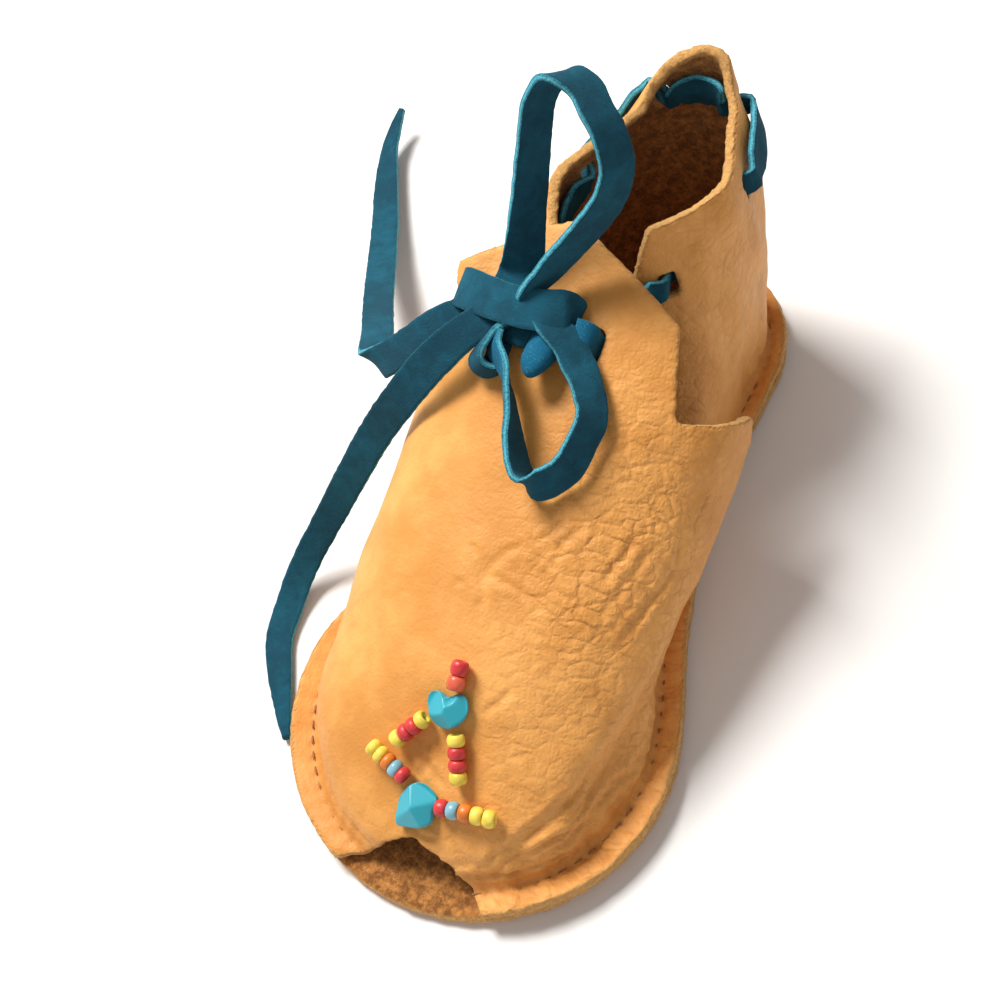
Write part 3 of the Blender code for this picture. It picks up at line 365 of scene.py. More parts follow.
# Creases in the vamp, over places in plan: how deep and how wide each trough is, and its line
Crease = namedtuple("Crease", "depth width line")
CREASES = rows(
    Crease,
    (0.24, 0.6, ((6.3, -15.1), (8.8, -12.4), (10.8, -9.2), (11.5, -7.8))),
    (0.19, 0.6, ((5.3, -13.4), (7.1, -11.3), (8.7, -8.9))),
    (0.22, 0.6, ((6.7, -15.9), (8.6, -16.6), (11.0, -18.0), (12.5, -18.8))),
    (0.24, 0.6, ((13.9, -9.1), (16.0, -10.7), (17.5, -12.0), (19.6, -12.9))),
    (0.17, 0.6, ((8.6, -16.6), (9.2, -13.4), (9.7, -11.5))),
    (0.24, 0.6, ((23.2, -0.8), (23.7, -5.8), (23.3, -9.9), (22.1, -14.8), (21.1, -17.9))),
    (0.22, 0.6, ((24.9, -3.2), (23.8, -8.8), (22.4, -14.9), (20.6, -20.8), (19.7, -22.5))),
    (0.22, 0.6, ((18.5, -4.8), (17.8, -8.8), (16.8, -12.1), (16.0, -14.9))),
    (0.19, 0.6, ((21.0, -5.0), (20.1, -9.2), (18.7, -13.7), (17.8, -17.2), (16.5, -19.6))),
    (0.19, 0.6, ((-2.1, -17.8), (-3.6, -15.8))),
    (0.19, 0.6, ((-2.6, -20.9), (-4.1, -22.2))),
    (0.24, 0.6, ((0.5, -19.4), (3.9, -19.5), (8.1, -20.3), (10.0, -21.9))),
    (0.22, 0.6, ((-0.1, -18.7), (1.5, -16.1), (3.1, -14.4), (5.4, -14.3))),
    (0.22, 0.6, ((-0.4, -19.6), (1.0, -22.2), (0.7, -24.6))),
    (2.50, 3.3, (
        (26.6, -3.0), (26.6, -12.0), (26.3, -20.0), (25.8, -28.0), (24.9, -35.0), (23.4, -40.5),
        (20.6, -45.5),
    )),
    (0.60, 0.8, ((26.7, -30.0), (25.6, -36.9), (24.1, -42.0), (21.3, -47.1))),
    (0.55, 0.8, ((23.8, -33.3), (22.6, -39.2), (20.2, -44.3), (16.2, -50.1), (12.8, -54.2))),
    (0.34, 0.6, ((21.5, -40.2), (17.8, -46.5), (13.9, -52.0), (12.1, -54.7))),
    (0.42, 0.55, ((12.3, -56.2), (15.1, -52.4), (18.4, -49.1), (21.7, -45.4), (23.3, -43.0))),
    (0.46, 0.55, ((13.6, -56.4), (16.1, -52.9), (19.2, -49.5), (22.1, -45.6), (24.4, -41.2))),
    (0.40, 0.5, ((16.3, -54.6), (18.3, -52.5), (20.7, -49.4), (23.4, -46.0), (25.6, -41.6))),
    (0.36, 0.5, ((18.2, -49.6), (20.0, -47.4), (22.4, -44.4), (23.7, -41.3), (24.5, -37.6))),
    (0.30, 0.5, ((16.0, -51.5), (17.9, -48.0), (19.6, -45.6))),
    (0.26, 0.5, ((13.3, -53.3), (13.3, -50.7), (14.0, -48.2))),
    (0.26, 0.6, ((6.5, -36.9), (8.1, -34.6), (9.9, -32.0))),
    (0.30, 0.6, ((-1.2, -42.1), (0.1, -44.5), (-0.7, -47.4))),
    (0.26, 0.6, ((0.1, -53.1), (1.8, -54.3), (4.7, -53.8))),
    (0.26, 0.6, ((5.9, -52.4), (8.9, -54.1), (10.7, -55.0))),
    (0.30, 0.6, ((-3.3, -43.6), (0.9, -45.6), (4.1, -47.4))),
)
PUCKER = (-0.2, -19.3)


def column(table, key, name, at):
    """A column of a table at any station, on a smooth curve through the rows."""
    stations = [getattr(row, key) for row in table]
    values = [getattr(row, name) for row in table]
    at = min(max(at, stations[0]), stations[-1])
    low = min(bisect.bisect_right(stations, at) - 1, len(table) - 2)

    def slope(row):
        before = max(row - 1, 0)
        after = min(row + 1, len(table) - 1)
        return (values[after] - values[before]) / (stations[after] - stations[before])

    span = stations[low + 1] - stations[low]
    part = (at - stations[low]) / span
    start, end = values[low], values[low + 1]
    curve = (2.0 * part**3 - 3.0 * part**2 + 1.0) * start
    curve += (3.0 * part**2 - 2.0 * part**3) * end
    curve += (part**3 - 2.0 * part**2 + part) * span * slope(low)
    curve += (part**3 - part**2) * span * slope(low + 1)
    return curve


def ease(value, start, end):
    """0 at start, 1 at end, and smooth between them."""
    part = min(max((value - start) / (end - start), 0.0), 1.0)
    return part * part * (3.0 - 2.0 * part)


def eased(values, start, end):
    """ease for an array."""
    part = np.clip((values - start) / (end - start), 0.0, 1.0)
    return part * part * (3.0 - 2.0 * part)


def spread(start, end, steps):
    return [start + (end - start) * step / steps for step in range(steps + 1)]


def half_width(y):
    return column(SIDES, "y", "half_width", y)


def inset(x, y):
    """How far a point of the plan lies inside the sole's outline."""
    if y < TOE_HUB_Y:
        return TOE_RADIUS - math.hypot(x, y - TOE_HUB_Y)
    if y > HEEL_HUB_Y:
        return HEEL_RADIUS - math.hypot(x, y - HEEL_HUB_Y)
    return half_width(y) - abs(x)


def edge_curl(x, y):
    """How far the sole and flange lift towards their edge, in long waves round the shoe."""
    reach = max(0.0, 1.0 - inset(x, y) / CURL_REACH)
    wave = 0.6 + 0.4 * math.sin(CURL_WAVES * math.atan2(x, y) + 1.0)
    return CURL_HEIGHT * reach * reach * wave


def curled(line, share=1.0):
    return [point + UP * edge_curl(point.x, point.y) * share for point in line]


Rib = namedtuple("Rib", "hub_y out_x out_y reach")


def side_rib(side, y):
    return Rib(y, float(side), 0.0, half_width(y))


def fan_ribs(hub_y, radius, start, end, steps):
    """Ribs fanned about a hub, without the first and the last."""
    angles = spread(start, end, steps)[1:-1]
    return [Rib(hub_y, math.sin(angle), -math.cos(angle), radius) for angle in angles]


def ribs_round(rear_y, side_steps, toe_steps):
    """Ribs from the left rear round the toe to the right rear."""
    left = [side_rib(-1, y) for y in spread(rear_y, TOE_HUB_Y, side_steps)]
    toe = fan_ribs(TOE_HUB_Y, TOE_RADIUS, -math.pi / 2.0, math.pi / 2.0, toe_steps)
    right = [side_rib(1, y) for y in spread(TOE_HUB_Y, rear_y, side_steps)]
    return left + toe + right


def on_rib(rib, out, z):
    return Vector((rib.out_x * out, rib.hub_y + rib.out_y * out, z))


def vamp_section(rib):
    """The rib's section, from the table or blended into the toe's."""
    values = (column(VAMP_SECTIONS, "y", name, rib.hub_y) for name in VampSection._fields)
    section = VampSection(*values)
    toe = max(0.0, -rib.out_y) ** 2
    return section._replace(
        bulge=section.bulge + (TOE_BULGE - section.bulge) * toe,
        bulge_z=section.bulge_z + (TOE_BULGE_Z - section.bulge_z) * toe,
        roundness=section.roundness + (TOE_ROUNDNESS - section.roundness) * toe,
    )


def flap_lift(x, y):
    """How far the tongue flap's left corner stands up off the dome."""
    return FLAP_LIFT * ease(-x, 14.0, 23.5) * ease(y, 9.0, 22.0)


def dome_point(rib, section, share):
    """A point of the dome: share runs from 0 at the bulge to 1 on the crown line."""
    angle = share * math.pi / 2.0
    power = 2.0 / section.roundness
    outward = max(math.cos(angle), 0.0) ** power
    point = on_rib(rib, section.bulge * outward, section.bulge_z)
    point.x += section.crown_x * (1.0 - outward)
    point.z += (section.crown_z - section.bulge_z) * math.sin(angle) ** power
    if rib.out_y < 0.0:
        point.z += CROWN_SLOPE * (point.y - TOE_HUB_Y) * (1.0 - outward**2)
    point.z += flap_lift(point.x, point.y) * math.sin(angle) ** power
    return point


def vamp_line(rib):
    """The vamp's outer face along a rib: flange, wall, then dome."""
    section = vamp_section(rib)
    stitch = rib.reach - VAMP_FLANGE
    depths = spread(0.0, VAMP_FLANGE - 1.2, 5)
    line = curled([on_rib(rib, rib.reach - depth, FLANGE_TOP) for depth in depths])
    line += [on_rib(rib, stitch + out, FLANGE_TOP + rise) for out, rise in FOLD]
    for part in spread(0.0, 1.0, 10):
        out = stitch + (section.bulge - stitch) * ease(part, 0.0, 1.0)
        line.append(on_rib(rib, out, WALL_FOOT + (section.bulge_z - WALL_FOOT) * part))
    line += [dome_point(rib, section, share) for share in spread(0.0, 1.0, 36)[1:]]
    return line


def vamp_height(x, y):
    """Height of the dome's outer face over a point of the plan."""
    if y < TOE_HUB_Y:
        out = math.hypot(x, y - TOE_HUB_Y)
        rib = Rib(TOE_HUB_Y, x / out, (y - TOE_HUB_Y) / out, TOE_RADIUS)
    else:
        out = abs(x - column(VAMP_SECTIONS, "y", "crown_x", y))
        rib = side_rib(math.copysign(1.0, x), y)
    section = vamp_section(rib)
    span = section.bulge - rib.out_x * section.crown_x
    outward = min(out / span, 1.0)
    rise = (1.0 - outward**section.roundness) ** (1.0 / section.roundness)
    height = section.bulge_z + (section.crown_z - section.bulge_z) * rise
    if y < TOE_HUB_Y:
        height += CROWN_SLOPE * (y - TOE_HUB_Y) * (1.0 - outward**2)
    return height


def on_vamp(x, y):
    """Point and outward direction of the dome's outer face over a place in plan."""
    step = 0.05
    slope_x = (vamp_height(x + step, y) - vamp_height(x - step, y)) / (2.0 * step)
    slope_y = (vamp_height(x, y + step) - vamp_height(x, y - step)) / (2.0 * step)
    return Vector((x, y, vamp_height(x, y))), Vector((-slope_x, -slope_y, 1.0)).normalized()


def flap_side(y):
    return FLAP_SIDE_X + FLAP_SIDE_SLANT * (y - FLAP_SIDE_Y)


HEEL_LINE_RADIUS = HEEL_RADIUS - HEEL_FLANGE
HEEL_ARC = HEEL_LINE_RADIUS * math.pi / 2.0
FLANGE_JOIN = HEEL_ARC + HEEL_HUB_Y - FLANGE_JOIN_Y


def heel_line(along):
    """Point and outward direction on the quarter's stitch line, by the distance from the
    heel's back, negative on the right."""
    side = -1.0 if along > 0.0 else 1.0
    if abs(along) < HEEL_ARC:
        angle = abs(along) / HEEL_LINE_RADIUS
        out = Vector((side * math.sin(angle), math.cos(angle), 0.0))
        return Vector((0.0, HEEL_HUB_Y, 0.0)) + out * HEEL_LINE_RADIUS, out
    y = HEEL_HUB_Y - (abs(along) - HEEL_ARC)
    tuck = QUARTER_TUCK * ease(y, TUCK_FROM_Y, TUCK_TO_Y)
    return Vector((side * (half_width(y) - HEEL_FLANGE - tuck), y, 0.0)), Vector((side, 0.0, 0.0))


def quarter_point(along, level):
    """The quarter's outer face: level runs from 0 at the stitch line to 1 at the rim."""
    base, out = heel_line(along)
    joined = ease(base.y, FLANGE_JOIN_Y, FLANGE_JOIN_Y - 1.0)
    base.z = WALL_FOOT + (TUCKED_FOOT - WALL_FOOT) * joined
    rim = Vector([column(RIM, "along", name, along) for name in "xyz"])
    bulge = column(RIM, "along", "bulge", along) * BULGE_PEAK * level * (1.0 - level**3)
    return base.lerp(rim, level) + out * bulge


def quarter_frame(along, level):
    """Point, direction forward, direction up and outward normal on the quarter."""
    step = 0.01
    point = quarter_point(along, level)
    forward = (quarter_point(along + step, level) - quarter_point(along - step, level)).normalized()
    upward = (quarter_point(along, level + step) - quarter_point(along, level - step)).normalized()
    return point, forward, upward, forward.cross(upward).normalized()


def quarter_flange(along):
    """Points of the flange from its outer edge in to the wall's foot."""
    foot = quarter_point(along, 0.0)
    stitch, out = heel_line(along)
    stitch.z = FLANGE_TOP
    reach = inset(stitch.x, stitch.y)
    line = curled([stitch + out * reach * part for part in (1.0, 0.83, 0.66, 0.5, 0.35)])
    return line + [stitch + out * fold_out + UP * rise for fold_out, rise in FOLD] + [foot]


LaceSection = namedtuple("LaceSection", "centre side width")


def stationed(table, alongs):
    """A table of places with a station along the line for each."""
    station = namedtuple("Station", ("along",) + table[0]._fields)
    return [station(along, *row) for along, row in zip(alongs, table)]


def route_sections(route, step):
    """Sections of a lace at even steps on a smooth curve through the route's rows."""
    alongs = [0.0]
    for before, row in zip(route, route[1:]):
        alongs.append(alongs[-1] + (Vector(row[:3]) - Vector(before[:3])).length)
    stations = stationed(route, alongs)

    def vector(at, *names):
        return Vector([column(stations, "along", name, at) for name in names])

    sections = []
    for at in spread(0.0, alongs[-1], round(alongs[-1] / step)):
        ahead = vector(at + 0.2, *"xyz") - vector(at - 0.2, *"xyz")
        side = vector(at, "side_x", "side_y", "side_z")
        side -= side.project(ahead)
        width = column(stations, "along", "width", at)
        sections.append(LaceSection(vector(at, *"xyz"), side.normalized(), width))
    return sections


def lace_offset(along):
    """How far the ankle lace's middle stands outside the quarter's outer face."""
    offset = LACE_OUTSIDE
    inwards = LACE_INSIDE - LACE_OUTSIDE
    for hole in LACE_HOLES:
        offset += inwards * ease(along, hole.along - CROSSING_REACH, hole.along + CROSSING_REACH)
        inwards = -inwards
    for start, end in (LACE_HOLES[1:3], LACE_HOLES[3:5]):
        part = (along - start.along) / (end.along - start.along)
        offset += LACE_SLACK * max(0.0, math.sin(math.pi * min(max(part, 0.0), 1.0)))
    return offset


def ankle_sections(step):
    """The lace from the right slit of the flap round the quarter to the left slit."""
    steps = round((LACE_LEFT_END - LACE_RIGHT_END) / step)
    round_quarter = []
    for along in spread(LACE_RIGHT_END, LACE_LEFT_END, steps):
        level = column(LACE_HOLES, "along", "level", along)
        point, _, upward, outward = quarter_frame(along, level)
        nearest = min(abs(along - hole.along) for hole in LACE_HOLES)
        width = LACE_BUNCHED + (LACE_WIDTH - LACE_BUNCHED) * ease(nearest, *BUNCHING)
        centre = point + outward * lace_offset(along)
        round_quarter.append(LaceSection(centre, upward, width))
    return route_sections(RIGHT_FRONT, step) + round_quarter + route_sections(LEFT_FRONT, step)


# ---------------------------------------------------------------- sizes and colours


def length_property(name, description, default):
    return bpy.props.FloatProperty(
        name=name,
        description=description,
        default=default,
        min=0.0,
        precision=5,
        subtype="DISTANCE",
        unit="LENGTH",
    )


def colour_property(name, description, default):
    return bpy.props.FloatVectorProperty(
        name=name,
        description=description,
        default=default,
        min=0.0,
        max=1.0,
        size=3,
        subtype="COLOR",
    )


class MoccasinSizes(bpy.types.PropertyGroup):
    fineness: length_property("Leather mesh", "Edge of a face of the upper's mesh", 0.00049)
    sole_fineness: length_property("Sole mesh", "Edge of a face of the sole's mesh", 0.0006)
    swell: length_property("Swell", "Height of the leather's long soft waves", 0.0005)
    grain: length_property("Grain", "Depth of the leather's grain", 0.00020)
    nap: length_property("Nap", "Depth of the suede's nap", 0.00016)
    lace_step: length_property("Lace step", "Distance between the lace's sections", 0.0006)
    stitch_pitch: length_property("Stitch pitch", "Distance from one stitch to the next", 0.0026)
    stitch_length: length_property("Stitch length", "Length of thread that shows", 0.0016)
    thread: length_property("Thread", "Thickness of the thread", 0.00036)


class MoccasinColours(bpy.types.PropertyGroup):
    deerskin: colour_property("Deerskin", "Grain side of the leather", (0.79, 0.360, 0.080))
    # Painted shade: the colour towards which the grain's crack lines, seam grooves and stitch holes
    # are darkened.
    deerskin_deep: colour_property("Deerskin shade", "Painted shade in the leather's crack lines and seams", (0.44, 0.150, 0.032))
    flesh: colour_property("Flesh side", "Rough side of the leather", (0.46, 0.17, 0.036))
    fuzz: colour_property("Fuzz", "Cut edges of the leather", (0.88, 0.47, 0.15))
    thread: colour_property("Thread", "Sewing thread", (0.43, 0.175, 0.050))
    lace: colour_property("Lace", "Face of the suede lace", (0.012, 0.062, 0.096))
    lace_pale: colour_property("Lace nap", "Brushed nap of the lace", (0.014, 0.104, 0.160))
    # Painted light: the colour of lace faces painted as lit by the lamp.
    lace_lit: colour_property("Painted lit lace", "Painted light on the lace's lit faces", (0.010, 0.130, 0.240))
    lace_edge: colour_property("Lace edge", "Cut edge of the lace", (0.110, 0.480, 0.600))
    red: colour_property("Red bead", "Red glass", (0.66, 0.040, 0.042))
    coral: colour_property("Coral bead", "Coral glass", (0.80, 0.13, 0.06))
    yellow: colour_property("Yellow bead", "Yellow glass", (0.92, 0.69, 0.085))
    orange: colour_property("Orange bead", "Orange glass", (0.78, 0.20, 0.02))
    sky: colour_property("Sky bead", "Light blue glass", (0.24, 0.50, 0.60))
    floor: colour_property("Floor", "The plain floor", (0.90, 0.885, 0.87))


# ---------------------------------------------------------------- nodes


def set_inputs(tree, node, inputs):
    """Sets a node's inputs to values, or links them from sockets."""
    for name, value in inputs.items():
        if isinstance(value, bpy.types.NodeSocket):
            tree.links.new(value, node.inputs[name])
        else:
            node.inputs[name].default_value = value


def add_node(tree, kind, inputs=None, **settings):
    node = tree.nodes.new(kind)
    for name, value in settings.items():
        setattr(node, name, value)
    set_inputs(tree, node, inputs or {})
    return node


def output_of(tree, kind, inputs=None, **settings):
    return add_node(tree, kind, inputs, **settings).outputs[0]


def tint(colour, by, lift=0.0):
    """A colour made deeper or paler, by one factor or by one for each channel."""
    factors = by if isinstance(by, tuple) else (by,) * 3
    return tuple(min(1.0, part * factor + lift) for part, factor in zip(colour, factors))


class Look:
    """A material whose look is built up node by node. Sizes are in millimetres."""

    def __init__(self, name):
        self.material = bpy.data.materials.new(name)
        self.material.use_nodes = True
        self.tree = self.material.node_tree
        self.place = add_node(self.tree, "ShaderNodeTexCoord").outputs["Object"]

    def painted(self, name):
        """The value of a point attribute."""
        return add_node(self.tree, "ShaderNodeAttribute", attribute_name=name).outputs["Fac"]

    def noise(self, size, detail=3.0, roughness=0.5, distortion=0.0):
        """Noise whose features are about the size."""
        inputs = {
            "Vector": self.place,
            "Scale": 1.0 / (size * MM),
            "Detail": detail,
            "Roughness": roughness,
            "Distortion": distortion,
        }
        return add_node(self.tree, "ShaderNodeTexNoise", inputs).outputs["Fac"]

    def cells(self, place, size, randomness=0.95):
        """Distance to the edges of cells of about the size."""
        inputs = {"Vector": place, "Scale": 1.0 / (size * MM), "Randomness": randomness}
        kind = "ShaderNodeTexVoronoi"
        return add_node(self.tree, kind, inputs, feature="DISTANCE_TO_EDGE").outputs["Distance"]

    def math(self, operation, *values):
        return output_of(self.tree, "ShaderNodeMath", dict(enumerate(values)), operation=operation)

    def times(self, first, second):
        return self.math("MULTIPLY", first, second)

    def times_plus(self, first, second, added):
        return self.math("MULTIPLY_ADD", first, second, added)

    def remap(self, value, low, high, to_low=0.0, to_high=1.0):
        inputs = {"Value": value, 1: low, 2: high, 3: to_low, 4: to_high}
        kind = "ShaderNodeMapRange"
        return output_of(self.tree, kind, inputs, interpolation_type="SMOOTHSTEP", clamp=True)

    def mix(self, share, first, second):
        """The first colour, turned into the second by the share."""

        def rgba(colour):
            return colour if isinstance(colour, bpy.types.NodeSocket) else (*colour, 1.0)

        inputs = {0: share, 6: rgba(first), 7: rgba(second)}
        return add_node(self.tree, "ShaderNodeMix", inputs, data_type="RGBA").outputs[2]

    def warp(self, place, size, amount):
        """The place shifted by noise, by up to about the amount."""
        inputs = {"Vector": place, "Scale": 1.0 / (size * MM), "Detail": 2.0}
        colour = add_node(self.tree, "ShaderNodeTexNoise", inputs).outputs["Color"]

        def vector(operation, first, second):
            inputs = {0: first, "Scale" if operation == "SCALE" else 1: second}
            return output_of(self.tree, "ShaderNodeVectorMath", inputs, operation=operation)

        centred = vector("SUBTRACT", colour, (0.5, 0.5, 0.5))
        return vector("ADD", place, vector("SCALE", centred, 2.0 * amount * MM))

    def turned(self, place, heading, stretch):
        """The place turned so that features stretch along a heading in degrees."""
        inputs = {
            "Vector": place,
            "Rotation": (0.0, 0.0, math.radians(-heading)),
            "Scale": (1.0 / stretch, 1.0, 1.0),
        }
        return output_of(self.tree, "ShaderNodeMapping", inputs, vector_type="POINT")

    def finish(self, colour, roughness, height=None, depth=0.0, **others):
        """Gives the shader its colour, its roughness, its relief of depth metres where the
        height runs from 0 to 1, and its other inputs by name."""
        inputs = {"Base Color": colour, "Roughness": roughness}
        inputs.update((name.replace("_", " "), value) for name, value in others.items())
        if height:
            relief = {"Height": height, "Distance": depth, "Strength": 1.0}
            inputs["Normal"] = add_node(self.tree, "ShaderNodeBump", relief).outputs["Normal"]
        set_inputs(self.tree, self.tree.nodes["Principled BSDF"], inputs)
        return self.material


# ---------------------------------------------------------------- materials

GLASS_RELIEF = 0.00004
THREAD_RELIEF = 0.00008
# Painted highlight: the pale specks of nap that catch the light on faces marked lit.
LACE_LIT_SPECKS = (0.16, 0.42, 0.56)


def deerskin_material(sizes, colours):
    """Golden deerskin: a grain of soft cells outside, a rough brown flesh side, and fuzzy cut
    edges."""
    look = Look("golden deerskin")
    flesh, edge = look.painted("flesh"), look.painted("cut_edge")
    grain, groove = look.painted("grain"), look.painted("groove")

    bent = look.warp(look.warp(look.place, 7.0, 0.9), 1.6, 0.30)
    cells = look.cells(look.turned(bent, 80.0, 1.6), 2.3)
    large = look.remap(look.cells(look.turned(bent, 140.0, 1.5), 4.2), 0.0, 0.15)
    pillow = look.remap(cells, 0.0, 0.26)
    fold = look.remap(cells, 0.0, 0.10)
    fine = look.remap(look.cells(look.warp(look.place, 1.5, 0.3), 0.80, 1.0), 0.0, 0.35)
    strong = look.times(grain, grain)
    sharp = look.times(strong, look.remap(look.noise(3.5, 2.0), 0.35, 0.60, 0.25, 1.0))
    smooth_side = look.times(pillow, look.times_plus(strong, 0.50, 0.07))
    smooth_side = look.times_plus(large, look.times(sharp, 0.40), smooth_side)
    smooth_side = look.times_plus(fold, look.times(sharp, 0.16), smooth_side)
    fine_side = look.times(fine, look.times_plus(grain, 0.12, 0.08))
    smooth_side = look.math("ADD", smooth_side, fine_side)
    smooth_side = look.times_plus(look.noise(1.3, 2.0, 0.45), 0.26, smooth_side)
    smooth_side = look.times_plus(look.noise(0.36, 3.0, 0.6), 0.09, smooth_side)
    nap = look.noise(0.55, 5.0, 0.72, 0.4)
    tufts = look.noise(1.8, 3.0, 0.6)
    rough_side = look.times_plus(nap, 2.2, look.times(tufts, 1.4))
    roughly = look.math("MAXIMUM", flesh, edge)
    sides = {0: roughly, 2: smooth_side, 3: rough_side}
    height = output_of(look.tree, "ShaderNodeMix", sides, data_type="FLOAT")

    broad = look.times(look.noise(26.0, 4.0, 0.55), 0.6)
    tone = look.math("ADD", broad, look.times(look.noise(5.0, 5.0, 0.6), 0.4))
    dusky, pale = tint(colours.deerskin, (0.88, 0.80, 0.70)), tint(colours.deerskin, 1.10, 0.02)
    skin = look.mix(look.remap(tone, 0.36, 0.64), dusky, pale)
    # Painted shade: crack lines of the grain, darker where the grain is strong, and the painted
    # seam shade darken the skin towards the shaded deerskin colour.
    crack_shade = look.times(look.math("SUBTRACT", 1.0, look.times(fold, large)), 0.20)
    painted_shade = look.math("ADD", look.times(crack_shade, sharp), groove)
    skin = look.mix(look.math("MINIMUM", painted_shade, 1.0), skin, colours.deerskin_deep)
    skin = look.mix(look.times(edge, 0.45), skin, tint(colours.fuzz, 1.05))

    fibre = look.times_plus(tufts, 0.5, look.times(nap, 0.5))
    deep, light = tint(colours.flesh, 0.52), tint(colours.flesh, (1.55, 1.75, 2.0))
    rough = look.mix(look.remap(fibre, 0.38, 0.66), deep, light)
    fuzz = look.mix(look.remap(nap, 0.35, 0.65), tint(colours.fuzz, 0.72), colours.fuzz)
    rough = look.mix(edge, rough, fuzz)
    gloss = look.times_plus(roughly, 0.32, look.times_plus(pillow, -0.05, 0.60))
    return look.finish(
        look.mix(flesh, skin, rough),
        gloss,
        height,
        sizes.grain,
        Specular_IOR_Level=0.38,
        Sheen_Weight=0.12,
        Sheen_Roughness=0.5,
        Sheen_Tint=(1.0, 0.85, 0.62, 1.0),
    )


def suede_material(sizes, colours):
    """Teal suede lace: brushed nap on its faces and pale cut edges."""
    look = Look("teal suede")
    edge, lit = look.painted("cut_edge"), look.painted("pale")
    nap = look.noise(0.32, 4.0, 0.7)
    brushed = look.noise(2.4, 5.0, 0.62, 0.6)
    tone = look.times_plus(brushed, 0.5, look.times(look.noise(11.0, 3.0, 0.5), 0.5))
    face = look.mix(look.remap(tone, 0.38, 0.66), colours.lace, colours.lace_pale)
    speck = tint(colours.lace_pale, 1.6, 0.004)
    face = look.mix(look.remap(nap, 0.56, 0.78, 0.0, 0.45), face, speck)
    # Painted light: faces marked lit take the lit lace colour.
    face = look.mix(look.times(lit, 0.85), face, colours.lace_lit)
    # Painted highlight: pale specks of nap, only on the faces marked lit.
    lit_specks = look.times(look.remap(nap, 0.52, 0.70, 0.0, 0.45), lit)
    lit_specks = look.times(lit_specks, look.remap(brushed, 0.40, 0.62))
    face = look.mix(lit_specks, face, LACE_LIT_SPECKS)
    ragged = look.remap(look.times_plus(nap, 0.5, edge), 0.60, 1.10)
    deep_edge = tint(colours.lace_edge, 0.55)
    edge_colour = look.mix(look.remap(nap, 0.3, 0.6), deep_edge, colours.lace_edge)
    return look.finish(
        look.mix(ragged, face, edge_colour),
        0.92,
        look.times_plus(nap, 1.0, look.times(brushed, 0.8)),
        sizes.nap,
        Specular_IOR_Level=0.10,
        Sheen_Weight=0.10,
        Sheen_Roughness=0.45,
        Sheen_Tint=(0.30, 0.75, 0.95, 1.0),
    )


def glass_material(name, colour):
    """Opaque seed-bead glass: glossy, a little uneven."""
    look = Look(f"{name} glass")
    tone = look.noise(1.6, 3.0, 0.55)
    body = look.mix(look.remap(tone, 0.35, 0.65), tint(colour, 0.86), tint(colour, 1.08, 0.01))
    gloss = look.remap(tone, 0.3, 0.7, 0.30, 0.44)
    height = look.noise(0.9, 2.0, 0.5)
    return look.finish(body, gloss, height, GLASS_RELIEF, Specular_IOR_Level=0.5)


def thread_material(colours):
    """Waxed sewing thread."""
    look = Look("sewing thread")
    strands = look.noise(0.25, 3.0, 0.6)
    share = look.remap(strands, 0.35, 0.65)
    body = look.mix(share, tint(colours.thread, 0.6), colours.thread)
    return look.finish(body, 0.6, strands, THREAD_RELIEF)


def floor_material(colours):
    """A plain pale floor with the faintest unevenness."""
    look = Look("plain floor")
    tone = look.noise(60.0, 3.0, 0.5)
    return look.finish(look.mix(tone, tint(colours.floor, 0.985), colours.floor), 0.85)


def material_for(name):
    """Each material is made once, by the first piece that needs it. The stones wear the
    frame's own turquoise."""
    made = bpy.data.materials.get(name)
    if made:
        return made
    scene = bpy.context.scene
    sizes, colours = scene.moccasin_sizes, scene.moccasin_colours
    if name == "golden deerskin":
        return deerskin_material(sizes, colours)
    if name == "teal suede":
        return suede_material(sizes, colours)
    if name == "sewing thread":
        return thread_material(colours)
    colour = name.split()[0]
    return glass_material(colour, getattr(colours, colour))


# ---------------------------------------------------------------- mesh helpers


def new_object(name, mesh, material):
    mesh.name = name
    mesh.materials.clear()
    mesh.materials.append(material)
    made = bpy.data.objects.new(name, mesh)
    bpy.context.scene.collection.objects.link(made)
    return made


def from_bmesh(name, bm, material):
    mesh = bpy.data.meshes.new(name)
    bm.to_mesh(mesh)
    bm.free()
    mesh.shade_smooth()
    return new_object(name, mesh, material)


def settle(made):
    """Turns an object's modifiers into plain mesh."""
    bpy.context.view_layer.update()
    graph = bpy.context.evaluated_depsgraph_get()
    shaped = made.evaluated_get(graph)
    mesh = bpy.data.meshes.new_from_object(shaped, preserve_all_data_layers=True, depsgraph=graph)
    made.modifiers.clear()
    made.data = mesh
    mesh.name = made.name


def bridge(bm, rings):
    """Quads between neighbouring closed rings of verts."""
    for near, far in zip(rings, rings[1:]):
        for corner in range(len(near)):
            after = (corner + 1) % len(near)
            bm.faces.new((near[corner], near[after], far[after], far[corner]))


def close_tube(bm, rings):
    bridge(bm, rings)
    bm.faces.new(list(reversed(rings[0])))
    bm.faces.new(rings[-1])


def tree_of(spots):
    """For finding the nearest of the spots."""
    tree = KDTree(len(spots))
    for number, spot in enumerate(spots):
        tree.insert(spot, number)
    tree.balance()
    return tree


def dress(piece, slot, *nodes):
    """Lays a piece over the nodes that it stands for, with the finish of a material slot."""
    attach(piece, "root")
    if nodes:
        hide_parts(*nodes)


def paint(mesh, name, values):
    layer = mesh.attributes.new(name, "FLOAT", "POINT")
    layer.data.foreach_set("value", np.asarray(values, np.float32))


def points_of(mesh):
    points = np.empty(len(mesh.vertices) * 3, np.float64)
    mesh.vertices.foreach_get("co", points)
    return points.reshape(-1, 3) / MM


def place_points(mesh, points):
    mesh.vertices.foreach_set("co", (points * MM).astype(np.float32).ravel())
    mesh.update()


def waves(points, size, seed):
    """Smooth noise between about -1 and 1, with features of about size millimetres."""
    shift = Vector((7.3, 3.1, 5.7)) * seed
    return np.array([noise.noise(Vector(point) / size + shift) for point in points])


